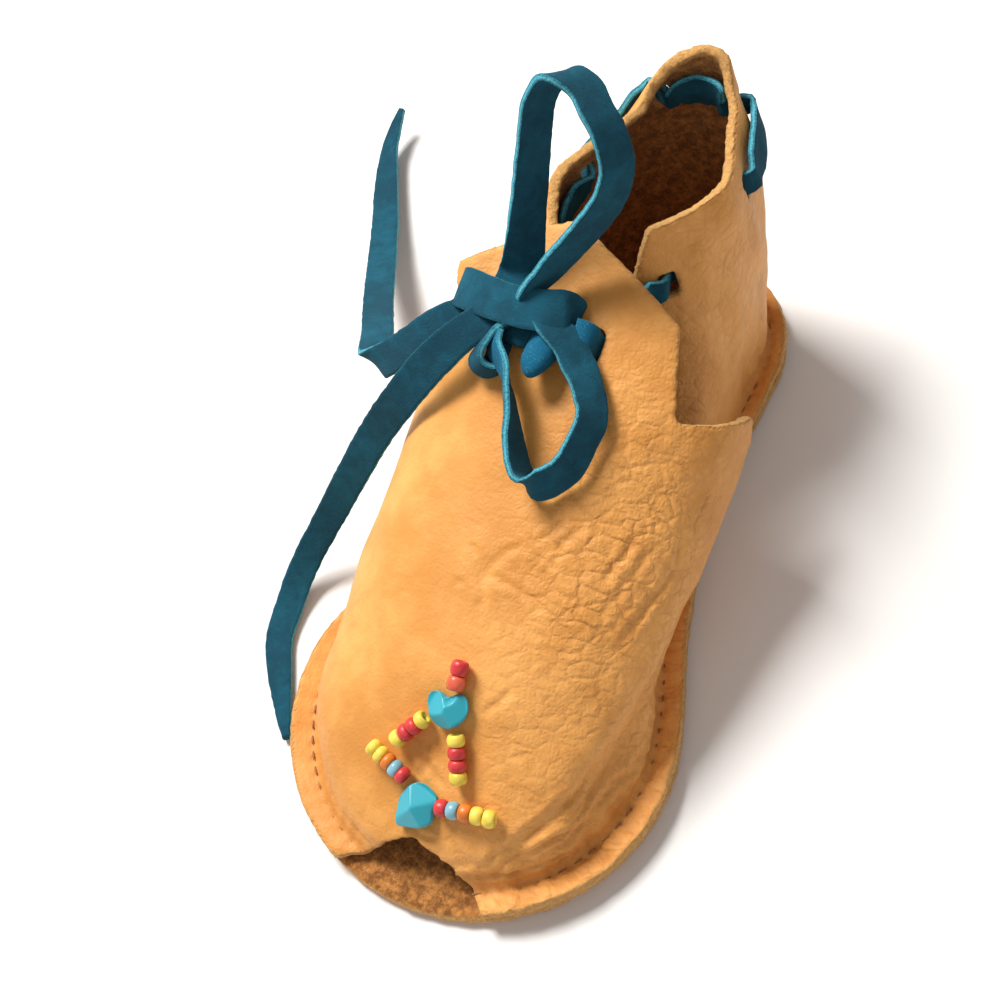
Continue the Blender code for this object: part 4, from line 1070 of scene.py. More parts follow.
def skinned(*sheets, closed=False):
    """Quads between neighbouring ribs, each a list of as many points, in welded sheets."""
    bm = bmesh.new()
    for ribs in sheets:
        lined = [[bm.verts.new(point * MM) for point in rib] for rib in ribs]
        pairs = list(zip(lined, lined[1:]))
        if closed:
            pairs.append((lined[-1], lined[0]))
        for near, far in pairs:
            for low in range(len(near) - 1):
                bm.faces.new((near[low], far[low], far[low + 1], near[low + 1]))
    bmesh.ops.remove_doubles(bm, verts=bm.verts, dist=WELD)
    return bm


def edges_of(outline):
    return zip(outline, outline[1:] + outline[:1])


def in_outline(across, up, outline):
    """Whether a point lies inside a polygon."""
    inside = False
    for (x1, y1), (x2, y2) in edges_of(outline):
        if (y1 > up) != (y2 > up) and across < x1 + (up - y1) / (y2 - y1) * (x2 - x1):
            inside = not inside
    return inside


def take_out(bm, planes, inside):
    """Cuts the sheet along planes, then takes out the faces whose middle is inside."""
    for point, normal in planes:
        parts = bm.verts[:] + bm.edges[:] + bm.faces[:]
        place = Vector(point) * MM
        bmesh.ops.bisect_plane(bm, geom=parts, dist=SAME_PLACE, plane_co=place, plane_no=normal)
    gone = [face for face in bm.faces if inside(face.calc_center_median() / MM)]
    bmesh.ops.delete(bm, geom=gone, context="FACES")


def in_view(view, across, up):
    """The vector of a place in plan or in profile."""
    return Vector((across, up, 0.0)) if view == "plan" else Vector((0.0, across, up))


def cut_outline(bm, view, outline, within=lambda point: True, more_planes=()):
    """Cuts the sheet along an outline, in plan or in profile, and takes out what is inside."""
    planes = []
    for (x1, y1), (x2, y2) in edges_of(outline):
        normal = in_view(view, y2 - y1, x1 - x2).normalized()
        planes.append((in_view(view, x1, y1), normal))

    def inside(point):
        seen = point.xy if view == "plan" else point.yz
        return within(point) and in_outline(*seen, outline)

    take_out(bm, [*planes, *more_planes], inside)


# ---------------------------------------------------------------- leather

Sheet = namedtuple("Sheet", "tree faces rim")
RIM_STEP = 0.3
CREASE_STEP = 0.7
CREASE_REACH = 7.5
BROAD_FOLD = 2.0


def read_sheet(bm):
    """The outer face of a leather piece, ready for finding the nearest place on it."""
    bm.normal_update()
    bm.faces.ensure_lookup_table()
    faces = []
    for face in bm.faces:
        faces.append([(vert.co.copy() / MM, vert.normal.copy()) for vert in face.verts])
    spots = []
    for edge in bm.edges:
        if edge.is_boundary:
            start, end = (vert.co / MM for vert in edge.verts)
            steps = max(1, math.ceil((end - start).length / RIM_STEP))
            spots += [start.lerp(end, step / steps) for step in range(steps)]
    return Sheet(BVHTree.FromBMesh(bm), faces, tree_of(spots))


Reading = namedtuple("Reading", "normals depth rim")


def read_places(sheet, points):
    """For each point of a piece: the outer face's normal, how deep the point lies under it
    as a share of the leather, and how far from the leather's cut edge."""
    normals = np.empty_like(points)
    depth = np.empty(len(points))
    rim = np.empty(len(points))
    for number, point in enumerate(points):
        point = Vector(point)
        spot, _, face, _ = sheet.tree.find_nearest(point * MM)
        spot = spot / MM
        normal = Vector((0.0, 0.0, 0.0))
        for corner, corner_normal in sheet.faces[face]:
            normal += corner_normal / ((corner - spot).length + 0.05)
        normal.normalize()
        normals[number] = normal
        depth[number] = (spot - point).dot(normal) / LEATHER
        rim[number] = sheet.rim.find(spot)[2]
    return Reading(normals, np.clip(depth, 0.0, 1.0), rim)


def shell(name, bm, fineness):
    """Leather of full thickness under the sheet, as one even closed mesh."""
    made = from_bmesh(name, bm, material_for("golden deerskin"))
    wall = made.modifiers.new("Wall", "SOLIDIFY")
    wall.thickness = LEATHER * MM
    wall.offset = -1.0
    wall.use_even_offset = True
    wall.use_quality_normals = True
    even = made.modifiers.new("Even", "REMESH")
    even.mode = "VOXEL"
    even.voxel_size = fineness * 1.0
    even.use_smooth_shade = True
    soft = made.modifiers.new("Soft", "SMOOTH")
    soft.factor = 0.5
    soft.iterations = 3
    settle(made)
    return made


def belled(distances, width):
    """1 where the distance is 0, fading smoothly over the width."""
    return np.exp(-((distances / width) ** 2))


def crease_relief(points, outer):
    """The creases' troughs with a low ridge beside each. A broad fold bends the whole leather,
    a fine crease mostly its outer face."""
    relief = np.zeros(len(points))
    for crease in CREASES:
        spots = []
        for (x1, y1), (x2, y2) in zip(crease.line, crease.line[1:]):
            steps = max(1, math.ceil(math.hypot(x2 - x1, y2 - y1) / CREASE_STEP))
            for step in range(steps):
                spots.append((x1 + (x2 - x1) * step / steps, y1 + (y2 - y1) * step / steps))
        spots.append(crease.line[-1])
        path = np.array([(x, y, vamp_height(x, y)) for x, y in spots])
        low, high = path.min(axis=0) - CREASE_REACH, path.max(axis=0) + CREASE_REACH
        near = np.flatnonzero(((points > low) & (points < high)).all(axis=1))
        if not len(near):
            continue
        apart = np.linalg.norm(points[near, None, :] - path[None, :, :], axis=2)
        nearest = apart.argmin(axis=1)
        distance = apart[np.arange(len(near)), nearest]
        share = nearest / (len(path) - 1)
        fade = eased(np.minimum(share, 1.0 - share), -0.04, 0.22)
        trough = -belled(distance, crease.width)
        ridge = belled(distance - 2.0 * crease.width, 1.1 * crease.width)
        rise = min(0.32 * crease.depth, 0.20)
        felt = 1.0 if crease.width > BROAD_FOLD else 0.35 + 0.65 * outer[near]
        relief[near] += fade * (crease.depth * trough + rise * ridge) * felt
    return relief


SEAM_STEP = 0.25
SEAM_INSET = 3.3
SEAM_OUT = 1.1
SEAM_TOP = 16.0
SEAM_REACH = 8.0
WALL_STARTS = FLANGE_TOP + 1.5
THREAD_SUNK = 0.28
Seam = namedtuple("Seam", "path tree")


def even_path(points, step):
    """Points at even steps along a line."""
    path = [points[0].copy()]
    spare = step
    for start, end in zip(points, points[1:]):
        length = (end - start).length
        at = spare
        while at <= length:
            path.append(start.lerp(end, at / length))
            at += step
        spare = at - length
    return path


def new_seam(points):
    path = even_path(points, SEAM_STEP)
    return Seam(path, tree_of(path))


def vamp_seam_line():
    """The stitch line of the vamp from its left rear corner round the toe to the right."""
    ribs = ribs_round(FLANGE_JOIN_Y, 60, 80)
    return curled([on_rib(rib, rib.reach - SEAM_INSET, FLANGE_TOP) for rib in ribs])


def heel_seam_line():
    line = []
    for along in spread(-FLANGE_JOIN, FLANGE_JOIN, 140):
        stitch, out = heel_line(along)
        point = stitch + out * SEAM_OUT
        line.append(Vector((point.x, point.y, FLANGE_TOP + edge_curl(point.x, point.y))))
    return line


def off_notch(line):
    """The runs of a line that are left beside the notch at the toe."""
    runs = [[]]
    for point in line:
        if not in_outline(point.x, point.y, NOTCH_PLAN):
            runs[-1].append(point)
        elif runs[-1]:
            runs.append([])
    return [run for run in runs if len(run) > 1]


def bell(distance, width):
    """belled for one number."""
    return math.exp(-((distance / width) ** 2))


def seam_relief(points, seams, pitch):
    """Grooves with a hole at each end of a stitch, and the puckers that the thread pulls up.
    Returns the relief and how dark the groove is."""
    relief = np.zeros(len(points))
    painted_shade = np.zeros(len(points))
    for seam in seams:
        for number, point in enumerate(points):
            if point[2] > SEAM_TOP:
                continue
            _, index, across = seam.tree.find(point)
            if across > SEAM_REACH:
                continue
            at = index * SEAM_STEP
            phase = (at / pitch + 0.5) % 1.0 - 0.5
            strength = 0.30 + 0.70 * ease(point[0] - 0.5 * point[1], 10.0, 30.0)
            hole = bell((abs(phase) - 0.5) * pitch, 0.38) * bell(across, 0.42)
            groove = bell(across, 0.65)
            pull = noise.noise(Vector((at / 3.4, across / 9.0, 4.2))) * 0.42
            pull += math.cos(2.0 * math.pi * phase) * 0.10
            pull *= bell(across - 2.2, 2.6)
            if point[2] > WALL_STARTS:
                gather = noise.noise(Vector((at / 6.0, across / 1.1 + at / 5.0, 1.7)))
                pull += gather * bell(across - 3.2, 2.6) * (strength - 0.3)
            relief[number] += strength * pull - (0.12 + 0.12 * strength) * groove - 0.35 * hole
            # Painted shade: darkest in the stitch holes, fainter along the groove.
            painted_shade[number] = max(painted_shade[number], 0.40 * hole, 0.14 * groove)
    return relief, painted_shade


def work_leather(made, sheet, seams, grain, flesh_outside=False, creased=False, soft_folds=0.0):
    """Shapes the leather's waves, creases, stitch holes and ragged edges, and paints where its
    grain, flesh side, grooves and cut edges lie."""
    sizes = bpy.context.scene.moccasin_sizes
    points = points_of(made.data)
    reading = read_places(sheet, points)
    outer = 1.0 - reading.depth
    sewn, painted_shade = seam_relief(points, seams, sizes.stitch_pitch / MM)
    if flesh_outside:
        relief = waves(points, 2.2, 3) * 0.12 * outer
    else:
        relief = waves(points, 13.0, 1) * sizes.swell / MM
        relief += waves(points, 4.6, 2) * 0.28 * sizes.swell / MM
        if creased:
            relief += crease_relief(points, outer)
            pucker = np.linalg.norm(points - np.array(on_vamp(*PUCKER)[0]), axis=1)
            relief -= 0.5 * belled(pucker, 1.6) * outer
        relief += sewn * outer
        relief += waves(points * np.array([1.0, 1.0, 0.45]), 5.2, 7) * soft_folds
    edge = 1.0 - eased(reading.rim, 0.10, 0.75)
    between = eased(np.minimum(reading.depth, outer), 0.04, 0.16)
    cut = (1.0 - eased(reading.rim, 0.12, 0.34)) * between
    ragged = np.stack([waves(points, 1.3, seed) for seed in (4, 5, 6)], axis=1) * 0.16
    points = points + reading.normals * relief[:, None] + ragged * edge[:, None]
    points[:, 2] = np.maximum(points[:, 2], 0.0)
    place_points(made.data, points)
    inner = eased(reading.depth, 0.30, 0.62)
    lip = (1.0 - eased(reading.rim + waves(points, 1.1, 12) * 0.35, 0.45, 1.25)) * inner
    paint(made.data, "flesh", np.maximum(1.0 - inner if flesh_outside else inner, cut))
    paint(made.data, "cut_edge", np.maximum(cut, 0.0 if flesh_outside else 0.75 * lip))
    # Painted shade of the seam grooves and stitch holes, on the outer face only.
    paint(made.data, "groove", painted_shade * outer)
    paint(made.data, "grain", grain(points))


def make_leather(name, node, bm, fineness, seams, grain, **worked):
    """A piece of leather under the sheet that is its outer face."""
    sheet = read_sheet(bm)
    piece = shell(name, bm, fineness)
    work_leather(piece, sheet, seams, grain, **worked)
    dress(piece, "deerskin", node)


def vamp_grain(points):
    """The grain is strong on the right of the instep and fades to the left and the toe."""
    x, y, z = points.T
    patch = np.exp(-(((x - 15.0) / 13.0) ** 2) - (((y + 8.0) / 17.0) ** 2))
    side = eased(x, -6.0, 16.0) * (0.40 + 0.25 * eased(-y, 0.0, 40.0))
    low = 0.25 * (1.0 - eased(z, 6.0, 16.0))
    drift = waves(points, 9.0, 8) * 0.16
    return np.clip(0.20 + 0.75 * patch + side * 0.75 + low + drift, 0.10, 1.05)


def make_vamp():
    """Flange, dome, wings and tongue flap in one piece, with the notch at the toe."""
    bm = skinned([vamp_line(rib) for rib in ribs_round(VAMP_REAR_Y, 60, 84)])
    cut_outline(bm, "plan", NOTCH_PLAN)
    cut_outline(bm, "plan", FLAP_EDGE_PLAN, lambda point: point.z > FLAP_LEAST_Z)
    for side, gap in ((1.0, RIGHT_GAP_PROFILE), (-1.0, LEFT_GAP_PROFILE)):
        cut_outline(bm, "profile", WING_REAR_PROFILE, lambda point: point.x * side > WING_REAR_X)
        slant = Vector((side, -FLAP_SIDE_SLANT, 0.0)).normalized()
        flank = ((side * FLAP_SIDE_X, FLAP_SIDE_Y, 0.0), slant)
        cut_outline(
            bm, "profile", gap, lambda point: point.x * side > flap_side(point.y), [flank]
        )
    for x, y in FLAP_SLITS:
        left, right = x - 0.5 * SLIT_WIDTH, x + 0.5 * SLIT_WIDTH
        front, rear = y - 0.5 * SLIT_LENGTH, y + 0.5 * SLIT_LENGTH
        cut_outline(bm, "plan", ((left, front), (right, front), (right, rear), (left, rear)))
    loose = [vert for vert in bm.verts if not vert.link_faces]
    bmesh.ops.delete(bm, geom=loose, context="VERTS")
    seams = [new_seam(run) for run in off_notch(vamp_seam_line())]
    fineness = bpy.context.scene.moccasin_sizes.fineness
    make_leather("vamp", "upper_vamp", bm, fineness, seams, vamp_grain, creased=True)


def quarter_grain(points):
    # Strong grain all over, which also deepens the painted shade in the grain's crack lines.
    return 0.74 + 0.25 * waves(points, 8.0, 9)


def make_quarter():
    """The heel piece with its rim, flange and lace holes."""
    flanged = spread(-FLANGE_JOIN, FLANGE_JOIN, 96)
    front = spread(FLANGE_JOIN, QUARTER_FRONT, 8)[1:]
    stations = [-along for along in reversed(front)] + flanged + front
    levels = spread(0.0, 1.0, 36)
    wall = [[quarter_point(along, level) for level in levels] for along in stations]
    bm = skinned(wall, [quarter_flange(along) for along in flanged])
    for hole in LACE_HOLES:
        point, forward, upward, outward = quarter_frame(*hole)
        upward = outward.cross(forward).normalized()
        planes = []
        for direction, size in ((forward, HOLE_LENGTH), (upward, HOLE_HEIGHT)):
            planes += [(point + direction * (sign * 0.5 * size), direction) for sign in (-1.0, 1.0)]

        def in_hole(spot):
            offset = spot - point
            return (
                abs(offset.dot(forward)) < 0.5 * HOLE_LENGTH
                and abs(offset.dot(upward)) < 0.5 * HOLE_HEIGHT
                and abs(offset.dot(outward)) < HOLE_REACH
            )

        take_out(bm, planes, in_hole)
    fineness = bpy.context.scene.moccasin_sizes.fineness
    seams = [new_seam(heel_seam_line())]
    make_leather(
        "quarter", "upper_quarter", bm, fineness, seams, quarter_grain, soft_folds=0.60
    )


def sole_grain(points):
    return np.full(len(points), 0.30)


def make_sole():
    """The flat sole, rough side up, its edge curled up a little."""
    ribs = ribs_round(HEEL_HUB_Y, 50, 70)
    ribs += fan_ribs(HEEL_HUB_Y, HEEL_RADIUS, math.pi / 2.0, 1.5 * math.pi, 50)
    lines = []
    for rib in ribs:
        outs = [rib.reach - depth for depth in (0.0, 0.7, 1.4, 2.1, 2.8, 3.5, 4.4, 9.0)]
        outs += spread(rib.reach - 9.0, 0.0, 6)[1:]
        lines.append(curled([on_rib(rib, out, LEATHER) for out in outs], SOLE_CURL_SHARE))
    bm = skinned(lines, closed=True)
    fineness = bpy.context.scene.moccasin_sizes.sole_fineness
    make_leather("sole", "outsole", bm, fineness, [], sole_grain, flesh_outside=True)


# ---------------------------------------------------------------- lace

LaceCorner = namedtuple("LaceCorner", "across through cut")


def lace_profile():
    """The lace's section: across and through as shares of half its width and thickness."""
    corner = ((0.955, 1.0, 0.30), (0.984, 0.86, 0.58), (1.0, 0.45, 0.55), (1.0, 0.0, 1.0))
    right = [LaceCorner(*point) for point in corner]
    right += [LaceCorner(point.across, -point.through, point.cut) for point in reversed(right[:-1])]
    faces = (0.80, 0.55, 0.28, 0.0, -0.28, -0.55, -0.80)
    under = [LaceCorner(across, -1.0, 0.0) for across in faces]
    left = [LaceCorner(-point.across, point.through, point.cut) for point in reversed(right)]
    over = [LaceCorner(-across, 1.0, 0.0) for across in faces]
    return right + under + left + over


def lace_bmesh():
    bm = bmesh.new()
    for name in ("cut_edge", "pale"):
        bm.verts.layers.float.new(name)
    return bm


def make_lace(bm, sections, seed, thickness=LACE_THICKNESS, lit=None):
    """A lace through its sections, with a slightly uneven width and face. Its smooth side shows
    on the sections from the first to the last share in lit."""
    profile = lace_profile()
    cut, pale = (bm.verts.layers.float[name] for name in ("cut_edge", "pale"))
    rings = []
    for number, (centre, side, width) in enumerate(sections):
        share = number / (len(sections) - 1)
        shown = ease(share, lit[0], lit[1]) - ease(share, lit[2], lit[3]) if lit else 0.0
        before = sections[max(number - 1, 0)].centre
        after = sections[min(number + 1, len(sections) - 1)].centre
        ahead = (after - before).normalized()
        side = (side - side.project(ahead)).normalized()
        top = ahead.cross(side).normalized()
        ring = []
        for corner in profile:
            edge_seed = Vector((seed, math.copysign(9.0, corner.across), 0.0))
            half = 0.5 * width + 0.13 * noise.noise(centre / 1.1 + edge_seed)
            point = centre + side * (corner.across * half) + top * corner.through * 0.5 * thickness
            ripple = noise.noise(point / 2.6 + Vector((0.0, seed, 3.0))) * 0.10
            point += top * ripple * (1.0 - 0.5 * corner.cut)
            vert = bm.verts.new(point * MM)
            vert[cut] = corner.cut
            # Painted light: the top face of the sections marked lit.
            vert[pale] = shown if corner.through > 0.0 else 0.0
            ring.append(vert)
        rings.append(ring)
    close_tube(bm, rings)


def finish_lace(name, node, bm):
    """The lace's mesh as a piece that stands for a node."""
    bmesh.ops.triangulate(bm, faces=[face for face in bm.faces if len(face.verts) > 4])
    bmesh.ops.recalc_face_normals(bm, faces=bm.faces)
    lace = from_bmesh(name, bm, material_for("teal suede"))
    dress(lace, "lace_suede", node)
    return lace


def lace_object(name, sections, seed, node, lit=None):
    bm = lace_bmesh()
    make_lace(bm, sections, seed, lit=lit)
    return finish_lace(name, node, bm)


def knot_place(at):
    """A place on the knot's band: its middle, the way across it and its top, by the station."""
    table = stationed(KNOT_BAND, map(float, range(len(KNOT_BAND))))
    side = Vector(KNOT_SIDE).normalized()

    def values(station, *names):
        return [column(table, "along", name, station) for name in names]

    ahead = Vector(values(at + 0.05, *"xyz")) - Vector(values(at - 0.05, *"xyz"))
    ahead.normalize()
    top = ahead.cross(side).normalized()
    return Vector(values(at, *"xyz")), top.cross(ahead), top, *values(at, "width", "height")


def make_knot():
    """The knot: a padded core, the band of lace drawn over it, and the lumps beneath."""
    bm = lace_bmesh()
    last = float(len(KNOT_BAND) - 1)
    rings = []
    for at in spread(0.0, last - 0.9, 26):
        centre, side, top, width, height = knot_place(at)
        ring = []
        for angle in spread(0.0, 2.0 * math.pi, 20)[:-1]:
            across = side * math.cos(angle) * (width - 1.0) + top * math.sin(angle) * (height - 0.9)
            ring.append(bm.verts.new((centre - top * 0.3 + across * 0.5) * MM))
        rings.append(ring)
    close_tube(bm, rings)
    band = []
    for at in spread(0.0, last - 1.1, 32):
        centre, side, top, width, height = knot_place(at)
        band.append(LaceSection(centre + top * (0.5 * height - 0.45), side, width + 0.1))
    turned = [LaceRow(*band[-1].centre, band[-1].width, *band[-1].side), *BAND_END]
    make_lace(bm, band + route_sections(turned, 0.5)[1:], 2.0, 1.1)
    make_lace(bm, route_sections(BIGHT, 0.5), 2.6)
    pale = bm.verts.layers.float["pale"]
    for lump in LUMPS:
        place = Matrix.Translation(Vector(lump.centre) * MM)
        ball = bmesh.ops.create_uvsphere(
            bm,
            u_segments=36,
            v_segments=22,
            radius=0.5,
            matrix=place @ Matrix.Diagonal([length * MM for length in lump.size] + [1.0]),
        )
        for vert in ball["verts"]:
            out = (vert.co - place.translation).normalized()
            dent = noise.noise(vert.co / (2.4 * MM)) * 0.42
            dent += noise.noise(vert.co / (0.9 * MM)) * 0.10
            vert.co += out * dent * MM
            # Painted light: a lump marked lit takes the lit lace colour.
            vert[pale] = lump.lit
    return finish_lace("knot", "lace_knot", bm)


def route_length(sections):
    pairs = zip(sections, sections[1:])
    return sum((after.centre - before.centre).length for before, after in pairs) * MM


def make_bow():
    """The bow: two loops and two free ends of one lace, held by the knot."""
    step = bpy.context.scene.moccasin_sizes.lace_step / MM
    knot = make_knot()
    # Painted light: the lower loop's top face is painted lit from about three quarters along to its
    # end.
    shown = (0.74, 0.84, 1.2, 1.3)
    strands = (
        ("long_end", "lace_end_long", LONG_END, "bare", [knot], None),
        ("short_end", "lace_end_short", SHORT_END, "bare", [], None),
        ("upper_loop", "lace_loop_upper", UPPER_LOOP, "object", [], None),
        ("lower_loop", "lace_loop_lower", LOWER_LOOP, "object", [], shown),
    )
    for number, (name, node, route, far_end, with_pieces, lit) in enumerate(strands):
        sections = route_sections(route, step)
        lace = lace_object(name, sections, 3.0 + number, node, lit)
        route_length(sections)


def make_ankle_lace():
    """The lace woven round the quarter and through the slits of the flap."""
    step = bpy.context.scene.moccasin_sizes.lace_step / MM
    # Painted light: the top face of the first few sections, at the flap's right slit, is painted
    # lit.
    shown = (-0.2, -0.1, 0.012, 0.03)
    lace_object("ankle_lace", ankle_sections(step), 11.0, "lace_ankle", shown)


# ---------------------------------------------------------------- stitches and beads


def new_tree(name, *lengths):
    """A geometry tree that takes a mesh, lengths and a material, and its given inputs."""
    tree = bpy.data.node_groups.new(name, "GeometryNodeTree")

    def socket(label, kind, in_out="INPUT"):
        tree.interface.new_socket(label, in_out=in_out, socket_type=f"NodeSocket{kind}")

    socket("Geometry", "Geometry")
    for label in lengths:
        socket(label, "Float")
    socket("Material", "Material")
    socket("Geometry", "Geometry", "OUTPUT")
    return tree, tree.nodes.new("NodeGroupInput").outputs


def lay_copies(tree, points, shape, along, scale, material):
    """Ends the tree in real, smooth copies of a shape on the points, each turned along a
    direction."""
    kind = "FunctionNodeAlignRotationToVector"
    inputs = {
        "Points": points,
        "Instance": shape,
        "Rotation": output_of(tree, kind, {"Vector": along}, axis="Z"),
        "Scale": output_of(tree, "ShaderNodeCombineXYZ", scale),
    }
    laid = output_of(tree, "GeometryNodeInstanceOnPoints", inputs)
    real = output_of(tree, "GeometryNodeRealizeInstances", {"Geometry": laid})
    smooth = output_of(tree, "GeometryNodeSetShadeSmooth", {"Geometry": real})
    coat = {"Geometry": smooth, "Material": material}
    coated = output_of(tree, "GeometryNodeSetMaterial", coat)
    add_node(tree, "NodeGroupOutput", {"Geometry": coated})


def run_tree(made, tree, **values):
    """Runs a tree on an object and leaves the plain mesh that it makes."""
    modifier = made.modifiers.new(tree.name, "NODES")
    modifier.node_group = tree
    for item in tree.interface.items_tree:
        if item.in_out == "INPUT" and item.name in values:
            modifier[item.identifier] = values[item.name]
    settle(made)


def stitch_tree():
    """Stitches of thread at an even pitch along a line."""
    tree, given = new_tree("stitches", "Pitch", "Length", "Thread")
    line = output_of(tree, "GeometryNodeMeshToCurve", {"Mesh": given["Geometry"]})
    inputs = {"Curve": line, "Length": given["Pitch"]}
    spots = output_of(tree, "GeometryNodeResampleCurve", inputs, mode="LENGTH")
    along = output_of(tree, "GeometryNodeInputTangent")
    inputs = {"Segments": 8, "Rings": 6, "Radius": 0.5}
    ball = output_of(tree, "GeometryNodeMeshUVSphere", inputs)
    scale = {"X": given["Thread"], "Y": given["Thread"], "Z": given["Length"]}
    lay_copies(tree, spots, ball, along, scale, given["Material"])
    return tree


def line_mesh(name, runs):
    """A mesh of bare edges along each run of points."""
    bm = bmesh.new()
    for run in runs:
        verts = [bm.verts.new(point * MM) for point in run]
        for near, far in zip(verts, verts[1:]):
            bm.edges.new((near, far))
    mesh = bpy.data.meshes.new(name)
    bm.to_mesh(mesh)
    bm.free()
    return mesh


def make_stitches():
    """Thread along the flange, sunk in its groove."""
    sizes = bpy.context.scene.moccasin_sizes
    material = material_for("sewing thread")
    runs = off_notch(vamp_seam_line()) + [heel_seam_line()]
    sunk = [[point - UP * THREAD_SUNK for point in even_path(run, 0.5)] for run in runs]
    stitches = new_object("stitches", line_mesh("stitches", sunk), material)
    run_tree(
        stitches,
        stitch_tree(),
        Pitch=sizes.stitch_pitch,
        Length=sizes.stitch_length,
        Thread=sizes.thread,
        Material=material,
    )
    dress(stitches, "deerskin")


def bead_tree():
    """A seed bead on each point, its hole along the point's axis."""
    tree, given = new_tree("seed beads", "Radius", "Hole")

    def circle(sides, operation):
        joined = {0: given["Radius"], 1: given["Hole"]}
        both = output_of(tree, "ShaderNodeMath", joined, operation=operation)
        radius = output_of(tree, "ShaderNodeMath", {0: both, 1: 0.5}, operation="MULTIPLY")
        inputs = {"Resolution": sides, "Radius": radius}
        return output_of(tree, "GeometryNodeCurvePrimitiveCircle", inputs)

    def stored(name, data_type):
        kind = "GeometryNodeInputNamedAttribute"
        return add_node(tree, kind, {"Name": name}, data_type=data_type).outputs["Attribute"]

    curves = {"Curve": circle(26, "ADD"), "Profile Curve": circle(14, "SUBTRACT")}
    ring = output_of(tree, "GeometryNodeCurveToMesh", curves)
    axis = stored("axis", "FLOAT_VECTOR")
    scale = {"X": 1.0, "Y": 1.0, "Z": stored("stretch", "FLOAT")}
    lay_copies(tree, given["Geometry"], ring, axis, scale, given["Material"])
    return tree


Bead = namedtuple("Bead", "node colour centre axis length")


def bead_places():
    """Where each bead lies, its axis and its length along the row."""
    beads = []
    for row in BEAD_ROWS:
        start, end = Vector(row.start), Vector(row.end)
        gaps = len(row.colours) - 1
        centres = []
        for number in range(gaps + 1):
            surface, outward = on_vamp(*start.lerp(end, number / gaps))
            centres.append(surface + outward * (BEAD_RADIUS + BEAD_LIFT))
        length = (centres[1] - centres[0]).length - 0.04
        for number, colour in enumerate(row.colours):
            near = centres[max(number - 1, 0)]
            far = centres[min(number + 1, gaps)]
            node = f"bead_{row.name}_{number + 1}"
            beads.append(Bead(node, colour, centres[number], (far - near).normalized(), length))
    return beads


def make_beads():
    """Rows of seed beads, one piece for each colour."""
    tree = bead_tree()
    beads = bead_places()
    rounding = 0.5 * (BEAD_RADIUS - BEAD_HOLE)
    for colour in BEAD_COLOURS:
        mine = [bead for bead in beads if bead.colour == colour]
        mesh = bpy.data.meshes.new(f"{colour}_beads")
        mesh.from_pydata([bead.centre * MM for bead in mine], [], [])
        axes = mesh.attributes.new("axis", "FLOAT_VECTOR", "POINT")
        axes.data.foreach_set("vector", [part for bead in mine for part in bead.axis])
        paint(mesh, "stretch", [0.5 * bead.length / rounding for bead in mine])
        material = material_for(f"{colour} glass")
        made = new_object(f"{colour}_beads", mesh, material)
        run_tree(made, tree, Radius=BEAD_RADIUS * MM, Hole=BEAD_HOLE * MM, Material=material)
        dress(made, f"bead_{colour}", *[bead.node for bead in mine])


# ---------------------------------------------------------------- nuggets

Facet = namedtuple("Facet", "level tilt_x tilt_y")
NUGGET_WAIST = 1.1
NUGGET_SIDES = 56
NUGGET_RIDGE = 0.07
NUGGET_UNDERSIDE = ((0.35, 0.0), (0.66, 0.02), (0.84, 0.14), (0.94, 0.36), (0.99, 0.72))
NUGGET_TOP = (1.0, 0.985, 0.955, 0.91, 0.85, 0.78, 0.70, 0.61, 0.52, 0.43, 0.34, 0.25, 0.16, 0.08)
HEART_HOLE = (-0.16, 1.76)
HEART_FACETS = rows(
    Facet, (3.3, 0.14, 0.62), (3.0, -0.62, -0.30), (3.1, 0.66, -0.22), (3.3, -0.02, -0.72)
)
WEDGE_FACETS = rows(
    Facet, (3.4, 0.80, -0.06), (3.2, -0.60, -0.12), (3.3, -0.24, -0.80), (3.4, 0.10, 0.55)
)


def nugget_reach(corners, angle):
    """The outline's reach at an angle, on a smooth closed curve through its corners."""
    table = [corner._replace(angle=corner.angle - 360.0) for corner in corners]
    table += list(corners) + [corner._replace(angle=corner.angle + 360.0) for corner in corners]
    return column(table, "angle", "reach", angle)


def nugget_height(x, y, share, facets, hole):
    """Height of the stone's top: a rounded shoulder under soft-edged facets."""
    levels = [facet.level + facet.tilt_x * x + facet.tilt_y * y for facet in facets]
    shoulder = max(1.0 - share**3, 0.0) ** 0.6
    levels.append(NUGGET_WAIST + (NUGGET_HEIGHT - NUGGET_WAIST + 0.5) * shoulder)
    least = min(levels)
    blend = sum(math.exp(-(level - least) / NUGGET_RIDGE) for level in levels)
    height = least - NUGGET_RIDGE * math.log(blend)
    if hole:
        height -= 1.6 * math.exp(-(((x - hole[0]) ** 2 + (y - hole[1]) ** 2) / 0.30))
    return max(height, NUGGET_WAIST * share)


